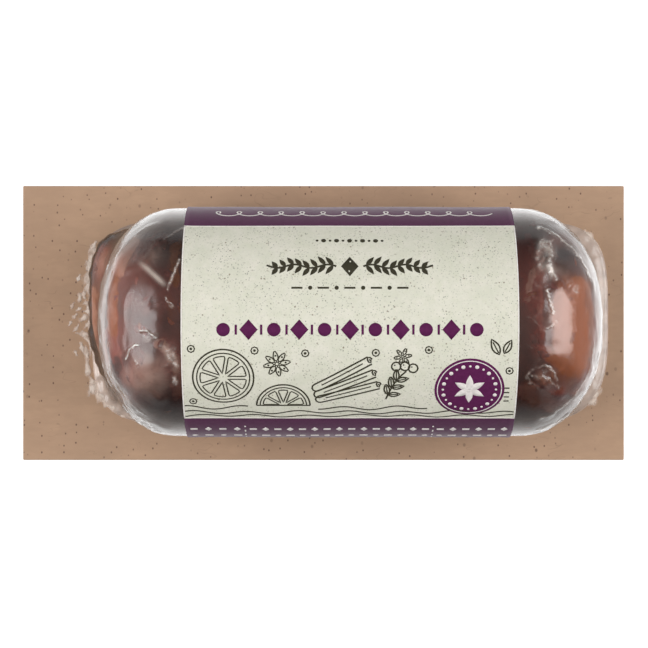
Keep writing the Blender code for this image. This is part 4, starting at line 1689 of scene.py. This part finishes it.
def star_spice(x, y, radius, points=8):
    """A star of seed pods in line: pointed petals round a small ring, each with a seed."""
    made = [stroke(turned(arc(radius * 0.16, 0, 360), x, y), FINE_STROKE)]
    for number in range(points):
        degrees = 360 * number / points + 10
        along = np.linspace(0, 1, 11)
        bow = np.sin(math.pi * along**0.75) * radius * 0.17
        upper = np.stack([radius * (0.2 + 0.8 * along), bow], axis=1)
        edge = np.concatenate([upper, (upper * (1, -1))[::-1]])
        made.append(stroke(turned(edge, x, y, degrees), FINE_STROKE))
        seed = turned([(radius * 0.6, 0)], x, y, degrees)[0]
        made.append(disc(seed[0], seed[1], radius * 0.07))
    return made


def spice_stick(x, y, degrees, length, width):
    """A rolled bark stick in line: two long sides, two closed ends and the curl that shows at one end."""
    half = length / 2
    made = []
    for edge in (-width / 2, width / 2):
        made.append(stroke(turned([(-half, edge), (half, edge)], x, y, degrees)))
    made.append(stroke(turned(arc(width / 2, 90, 270) + (-half, 0), x, y, degrees)))
    turn = np.linspace(0, 2.6 * math.pi, 40)
    curl = np.stack([np.cos(turn), np.sin(turn)], axis=1) * (width / 2 * (1 - turn / 11))[:, None] * (0.6, 1)
    made.append(stroke(turned(curl + (half, 0), x, y, degrees)))
    made.append(stroke(turned([(-half * 0.8, 0), (half * 0.75, width * 0.06)], x, y, degrees), FINE_STROKE))
    return made


def berry_sprig(x, y, degrees, size):
    """A sprig in line: a bowed stem with three pairs of leaves and round berries at its end."""
    along = np.linspace(0, 1, 20)
    stem = np.stack([along * 7.0, 1.1 * np.sin(along * 2.2)], axis=1)
    made = [stroke(turned(stem, x, y, degrees, size))]
    for share, lean in ((0.15, 48), (0.38, 42), (0.62, 38)):
        foot = np.array([[share * 7.0, 1.1 * math.sin(share * 2.2)]])
        base = turned(foot, x, y, degrees, size)[0]
        made += leaf_outline(base[0], base[1], degrees + lean, 2.5 * size, 1.0 * size)
        made += leaf_outline(base[0], base[1], degrees - lean, 2.3 * size, 0.95 * size)
    for place in ((7.6, 1.7), (8.2, 0.3), (6.6, 2.9)):
        middle = turned([place], x, y, degrees, size)[0]
        made.append(stroke(turned(arc(0.85 * size, 0, 360), middle[0], middle[1])))
        made.append(disc(middle[0] - 0.25 * size, middle[1] + 0.25 * size, 0.14 * size))
    return made


def wave_line(left, right, height, rise, length, phase):
    """A rolling line across the label: a sine wave with a slower one under it."""
    along = np.linspace(left, right, 120)
    up = height + rise * np.sin(2 * math.pi * along / length + phase)
    up += 0.4 * rise * np.sin(2 * math.pi * along / (2.7 * length) + 2 * phase)
    return stroke(np.stack([along, up], axis=1))


def dark_print():
    """The drawing in dark line: a row of dots, a leafy garland, a beaded rule, and a frieze of citrus
    slices, spice and sprigs over rolling lines."""
    made = []
    for number in range(-5, 6):
        made.append(disc(number * 1.12, 15.4, 0.42 if number % 2 == 0 else 0.24))
    made.append(lozenge(0, 9.9, 1.5, 1.9))
    for side in (-1, 1):
        stem_x = np.linspace(2.3, 14.2, 40)
        stem = np.stack([side * stem_x, 9.9 + 0.35 * np.sin((stem_x - 2.3) * 1.1)], axis=1)
        made.append(stroke(stem, 0.34))
        for number in range(8):
            foot = 2.8 + number * 1.36
            bottom = 9.9 + 0.35 * math.sin((foot - 2.3) * 1.1)
            for tilt in (52, -52):
                degrees = tilt if side > 0 else 180 - tilt
                made.append(leaf(side * foot, bottom, degrees, 2.2 - 0.08 * number, 0.82))
    for number in range(-4, 5):
        if number % 2 == 0:
            made.append(bar(number * 2.25, 5.9, 0.95, 0.17))
        else:
            made.append(disc(number * 2.25, 5.9, 0.36))
    made += fruit_slice(-21.6, -9.9, 5.2)
    made += fruit_slice(-11.4, -15.9, 4.6, 0, 180, 5)
    made.append(stroke([(-16.0, -15.9), (-6.8, -15.9)]))
    made += star_spice(-12.4, -7.3, 2.5)
    for offset, tilt in ((0.0, 24), (1.9, 30), (-1.7, 17)):
        made += spice_stick(-0.6 - offset * 0.3, -11.2 + offset, tilt, 10.5, 1.5)
    made += berry_sprig(6.2, -14.4, 52, 0.95)
    made += star_spice(9.0, -6.0, 1.7, 6)
    made += leaf_outline(25.4, -5.6, 118, 3.0, 1.3)
    made += leaf_outline(26.2, -5.4, 62, 2.6, 1.2)
    for height, rise, length, phase in (
        (-18.7, 0.30, 9.0, 0.4),
        (-17.7, 0.35, 9.0, 1.5),
    ):
        made.append(wave_line(-28.4, 28.4, height, rise, length, phase))
    made.append(wave_line(-28.4, -17.5, -16.3, 0.4, 9.0, 2.2))
    made.append(wave_line(-5.4, 13.4, -16.5, 0.4, 9.0, 2.2))
    for x, y in RINGED_DOTS:
        made.append(disc(x, y, 0.24))
        made += [stroke(turned(arc(0.62, 0, 360), x, y), FINE_STROKE)]
    for number in range(4):
        made.append(bar(26.9, -12.0 - number * 0.95, 0.45, 0.13))
    return made


def purple_print():
    """The bold purple row of lozenges and discs, and the round badge."""
    made = []
    for number in range(-5, 6):
        x = number * 4.3
        if number % 2:
            made.append(disc(x, -1.3, 1.15))
        else:
            made.append(lozenge(x, -1.3, 1.55, 1.75))
        if number < 5:
            made.append(bar(x + 2.15, -1.3, 0.20, 0.85))
    made.append(disc(*BADGE_PLACE, BADGE_RADIUS, across=16))
    return made


def badge_print():
    """The pale flower in the badge, ringed by dots."""
    x, y = BADGE_PLACE
    made = []
    for number in range(6):
        made.append(leaf(x, y, 60 * number + 30, 2.9, 1.25))
    for number in range(24):
        degrees = 15 * number
        place = turned([(4.55, 0)], x, y, degrees)[0]
        made.append(disc(place[0], place[1], 0.34 if number % 2 else 0.20))
    made.append(stroke(turned(arc(5.5, 0, 360), x, y), 0.16))
    return made


def band_print():
    """The pale ornament on the two dark bands: a looping line above, and rows of beads and dashes below."""
    turn = np.linspace(0, 2 * math.pi * 13, 620)
    across = np.linspace(-23.9, 24.0, 620) + 1.15 * np.cos(turn)
    made = [stroke(np.stack([across, 24.4 + 1.15 * np.sin(turn)], axis=1), 0.26)]
    for left, right in ((-27.2, -19.6), (-16.8, 13.4), (16.0, 27.2)):
        count = round((right - left) / 2.2)
        for number in range(count + 1):
            x = left + (right - left) * number / count
            made.append(lozenge(x, -23.6, 0.62, 0.85) if number % 2 else bar(x, -23.6, 0.62, 0.34))
            made.append(bar(x, -27.4, 0.72, 0.40) if number % 2 else disc(x, -27.4, 0.50))
    for x in (-18.2, 14.7):
        made.append(bar(x, -25.6, 0.13, 3.4))
    return made


def edge_print(band_start):
    """A painted highlight along the cream's two cut edges, where the paper's edge catches the light, and a
    thin pale line where each dark band begins.
    """
    half = (LABEL_RIGHT - LABEL_LEFT) / 2 - EDGE_LINE / 2
    reach = band_start * LABEL_RADIUS - EDGE_LINE
    made = [stroke([(side * half, -reach), (side * half, reach)], EDGE_LINE) for side in (-1, 1)]
    for side in (-1, 1):
        up = side * (reach + EDGE_LINE / 2)
        made.append(stroke([(-half, up), (half, up)], EDGE_LINE))
    return made


class PACK_OT_label_print(Operator):
    """Prints the ornament on the label"""

    bl_idname = "cheese_pack.label_print"
    bl_label = "Label print"

    def execute(self, context):
        settings = settings_of(context).label
        for name, shapes, lift, colour in (
            ("dark_line_print", dark_print(), PRINT_LIFT, settings.dark_ink),
            ("purple_print", purple_print(), PRINT_LIFT, settings.purple_ink),
            ("pale_badge_print", badge_print(), 2 * PRINT_LIFT, settings.pale_ink),
            ("pale_band_print", band_print(), PRINT_LIFT, settings.pale_ink),
            # Painted highlight along the cut edges, with the pale lines where the dark bands begin
            ("edge_highlights_and_band_lines", edge_print(settings.band_start), PRINT_LIFT, settings.edge_highlight_and_band_line),
        ):
            points, faces, total = [], [], 0
            for shape in shapes:
                rows, cols = shape.shape[:2]
                points.append(shape.reshape(-1, 2))
                faces.append(face_grid(rows, cols, ring=False) + total)
                total += rows * cols
            mesh = write_mesh(name, wrap(np.concatenate(points), lift), np.concatenate(faces))
            self.face_out(mesh)
            ink = printed_ink(name.replace("_", " "), tuple(colour))
            piece = add_piece(name, mesh, LABEL_NODE, ink)
            film = piece.modifiers.new("ink thickness", "SOLIDIFY")
            film.thickness = PRINT_DEPTH * MM
            film.offset = -1.0
        return {"FINISHED"}

    @staticmethod
    def face_out(mesh):
        """Merges each shape's own doubled points and turns every face away from the log's axis."""
        shape = bmesh.new()
        shape.from_mesh(mesh)
        bmesh.ops.dissolve_degenerate(shape, edges=shape.edges, dist=0.0005 * MM)
        shape.normal_update()
        inward = [
            face
            for face in shape.faces
            if face.normal.y * (face.calc_center_median().y - AXIS_Y * MM)
            + face.normal.z * (face.calc_center_median().z - AXIS_Z * MM)
            < 0
        ]
        bmesh.ops.reverse_faces(shape, faces=inward)
        shape.to_mesh(mesh)
        shape.free()


class PACK_OT_card(Operator):
    """Gives the card its kraft board"""

    bl_idname = "cheese_pack.card"
    bl_label = "Kraft card"

    def execute(self, context):
        settings = settings_of(context).card
        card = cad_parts[CARD_NODE]
        board = kraft_board(settings)
        for slot in card.material_slots:
            slot.material = board
        return {"FINISHED"}


class PACK_OT_stage(Operator):
    """Sets the floor, the light and the camera"""

    bl_idname = "cheese_pack.stage"
    bl_label = "Stage"

    def execute(self, context):
        settings = settings_of(context).stage
        self.floor(settings)
        self.surround(context, settings)
        self.softbox(context, "left softbox", -1, settings)
        self.softbox(context, "right softbox", 1, settings)
        self.overhead(context, settings)
        self.camera(context, settings)
        context.scene.view_settings.view_transform = "Standard"
        context.scene.view_settings.look = "None"
        return {"FINISHED"}

    @staticmethod
    def floor(settings):
        """A large flat square just under the card, which glows a little."""
        corners = np.array([[-1, -1], [1, -1], [1, 1], [-1, 1]]) * FLOOR_HALF
        points = np.concatenate([corners, np.full((4, 1), -FLOOR_DROP)], axis=1)
        mesh = write_mesh("floor", points, np.array([[0, 1, 2, 3]]))
        m = Shades("pale floor")
        m.finish(tuple(settings.floor), 0.9, specular=0.2)
        m.shader.inputs["Emission Color"].default_value = (1.0, 1.0, 1.0, 1.0)
        m.shader.inputs["Emission Strength"].default_value = settings.glow
        mesh.materials.append(m.material)
        floor = bpy.data.objects.new("floor", mesh)
        floor.visible_glossy = False
        floor.visible_diffuse = False
        bpy.context.scene.collection.objects.link(floor)

    @staticmethod
    def ranged(tree, value, low, high, to_low, to_high):
        """A value carried from one range to another and held at its ends."""
        node = tree.nodes.new("ShaderNodeMapRange")
        for key, number in zip(("From Min", "From Max", "To Min", "To Max"), (low, high, to_low, to_high)):
            node.inputs[key].default_value = number
        tree.links.new(value, node.inputs["Value"])
        return node.outputs["Result"]

    @staticmethod
    def product(tree, first, second):
        """The product of two values."""
        node = tree.nodes.new("ShaderNodeMath")
        node.operation = "MULTIPLY"
        tree.links.new(first, node.inputs[0])
        tree.links.new(second, node.inputs[1])
        return node.outputs[0]

    def surround(self, context, settings):
        """Soft light from above and all round, stronger overhead. Glossy surfaces mirror it weaker, leaning
        towards +Y, and over a table that is brighter under the pack."""
        world = bpy.data.worlds.new("soft surround")
        world.use_nodes = True
        context.scene.world = world
        tree = world.node_tree
        place = tree.nodes.new("ShaderNodeTexCoord")
        split = tree.nodes.new("ShaderNodeSeparateXYZ")
        ramp = tree.nodes.new("ShaderNodeValToRGB")
        low, high = settings.surround * (1 - SKY_SLOPE), settings.surround * (1 + SKY_SLOPE / 2)
        stops = ramp.color_ramp.elements
        stops.new(0.5)
        edge = HORIZON_BLEND / 2
        greys = ((0.5 - edge, settings.bounce), (0.5 + edge, low), (1.0, high))
        for stop, (position, grey) in zip(stops, greys):
            stop.position = position
            stop.color = (grey, grey, grey, 1.0)
        tree.links.new(place.outputs["Generated"], split.inputs["Vector"])
        level = self.ranged(tree, split.outputs["Z"], -1.0, 1.0, 0.0, 1.0)
        tree.links.new(level, ramp.inputs["Fac"])
        lit = tree.nodes["Background"]
        mirrored = tree.nodes.new("ShaderNodeBackground")
        share = self.ranged(tree, split.outputs["Z"], -HORIZON_BLEND, HORIZON_BLEND, 1.0, settings.mirror)
        table = self.ranged(tree, split.outputs["Z"], *TABLE_SPREAD, settings.table, 1.0)
        lean = self.ranged(tree, split.outputs["Y"], -1.0, 1.0, 1 - MIRROR_LEAN, 1 + MIRROR_LEAN)
        strength = self.product(tree, self.product(tree, share, table), lean)
        tree.links.new(strength, mirrored.inputs["Strength"])
        ray = tree.nodes.new("ShaderNodeLightPath")
        whole = tree.nodes.new("ShaderNodeMixShader")
        tree.links.new(ramp.outputs["Color"], lit.inputs["Color"])
        tree.links.new(ramp.outputs["Color"], mirrored.inputs["Color"])
        tree.links.new(ray.outputs["Is Glossy Ray"], whole.inputs["Fac"])
        tree.links.new(lit.outputs["Background"], whole.inputs[1])
        tree.links.new(mirrored.outputs["Background"], whole.inputs[2])
        tree.links.new(whole.outputs["Shader"], tree.nodes["World Output"].inputs["Surface"])

    @staticmethod
    def softbox(context, name, side, settings):
        """A tall panel of soft light beyond one end of the pack, raised and tipped to face it."""
        lamp = bpy.data.lights.new(name, "AREA")
        lamp.shape = "RECTANGLE"
        lamp.size = SOFTBOX_WIDTH
        lamp.size_y = SOFTBOX_HEIGHT
        lamp.energy = settings.softbox * math.pi * SOFTBOX_WIDTH * SOFTBOX_HEIGHT
        panel = bpy.data.objects.new(name, lamp)
        out = SOFTBOX_DISTANCE * math.cos(SOFTBOX_RISE)
        panel.location = (side * out, SOFTBOX_LEAN, SOFTBOX_DISTANCE * math.sin(SOFTBOX_RISE))
        panel.rotation_euler = (math.pi / 2 - SOFTBOX_RISE, 0, side * math.pi / 2)
        context.scene.collection.objects.link(panel)

    @staticmethod
    def overhead(context, settings):
        """A wide lamp straight above, which no glossy surface mirrors."""
        lamp = bpy.data.lights.new("overhead lamp", "AREA")
        lamp.shape = "RECTANGLE"
        lamp.size = OVERHEAD_LENGTH
        lamp.size_y = OVERHEAD_WIDTH
        lamp.energy = settings.overhead
        panel = bpy.data.objects.new("overhead lamp", lamp)
        panel.location = (0.0, 0.0, OVERHEAD_HEIGHT)
        panel.visible_glossy = False
        context.scene.collection.objects.link(panel)

    @staticmethod
    def camera(context, settings):
        """Straight above the pack, as the photo was taken."""
        data = bpy.data.cameras.new("camera")
        data.lens = settings.lens
        data.sensor_width = 36.0
        data.clip_start = 0.01
        camera = bpy.data.objects.new("camera", data)
        camera.location = (CAMERA_LOOKS_AT[0] * MM, CAMERA_LOOKS_AT[1] * MM, settings.height)
        context.scene.collection.objects.link(camera)
        context.scene.camera = camera


class PackSettings(PropertyGroup):
    """Everything about the pack that a user can change."""

    log: PointerProperty(type=LogSettings)
    film: PointerProperty(type=FilmSettings)
    label: PointerProperty(type=LabelSettings)
    card: PointerProperty(type=CardSettings)
    stage: PointerProperty(type=StageSettings)


class PACK_PT_sidebar(Panel):
    """Lists the pack's pieces and their settings"""

    bl_idname = "PACK_PT_sidebar"
    bl_label = "Cheese pack"
    bl_space_type = "VIEW_3D"
    bl_region_type = "UI"
    bl_category = "Cheese pack"

    def draw(self, context):
        whole = settings_of(context)
        for title, group, operators in (
            ("Cheese log", whole.log, (PACK_OT_coated_log, PACK_OT_fruit_bits)),
            ("Film", whole.film, (PACK_OT_film, PACK_OT_seal_puckers)),
            ("Label", whole.label, (PACK_OT_label, PACK_OT_label_print)),
            ("Card", whole.card, (PACK_OT_card,)),
            ("Stage", whole.stage, (PACK_OT_stage,)),
        ):
            box = self.layout.box()
            box.label(text=title)
            for key in group.__annotations__:
                box.prop(group, key)
            for operator in operators:
                box.operator(operator.bl_idname)


OPERATORS = (
    PACK_OT_coated_log,
    PACK_OT_fruit_bits,
    PACK_OT_film,
    PACK_OT_seal_puckers,
    PACK_OT_label,
    PACK_OT_label_print,
    PACK_OT_card,
    PACK_OT_stage,
)
CLASSES = (
    LogSettings,
    FilmSettings,
    LabelSettings,
    CardSettings,
    StageSettings,
    PackSettings,
    *OPERATORS,
    PACK_PT_sidebar,
)


def register():
    for one in CLASSES:
        bpy.utils.register_class(one)
    bpy.types.Scene.cheese_pack = PointerProperty(type=PackSettings)


def unregister():
    del bpy.types.Scene.cheese_pack
    for one in reversed(CLASSES):
        bpy.utils.unregister_class(one)


def main():
    register()
    for operator in OPERATORS:
        group, name = operator.bl_idname.split(".")
        getattr(getattr(bpy.ops, group), name)()


if __name__ == "__main__":
    main()
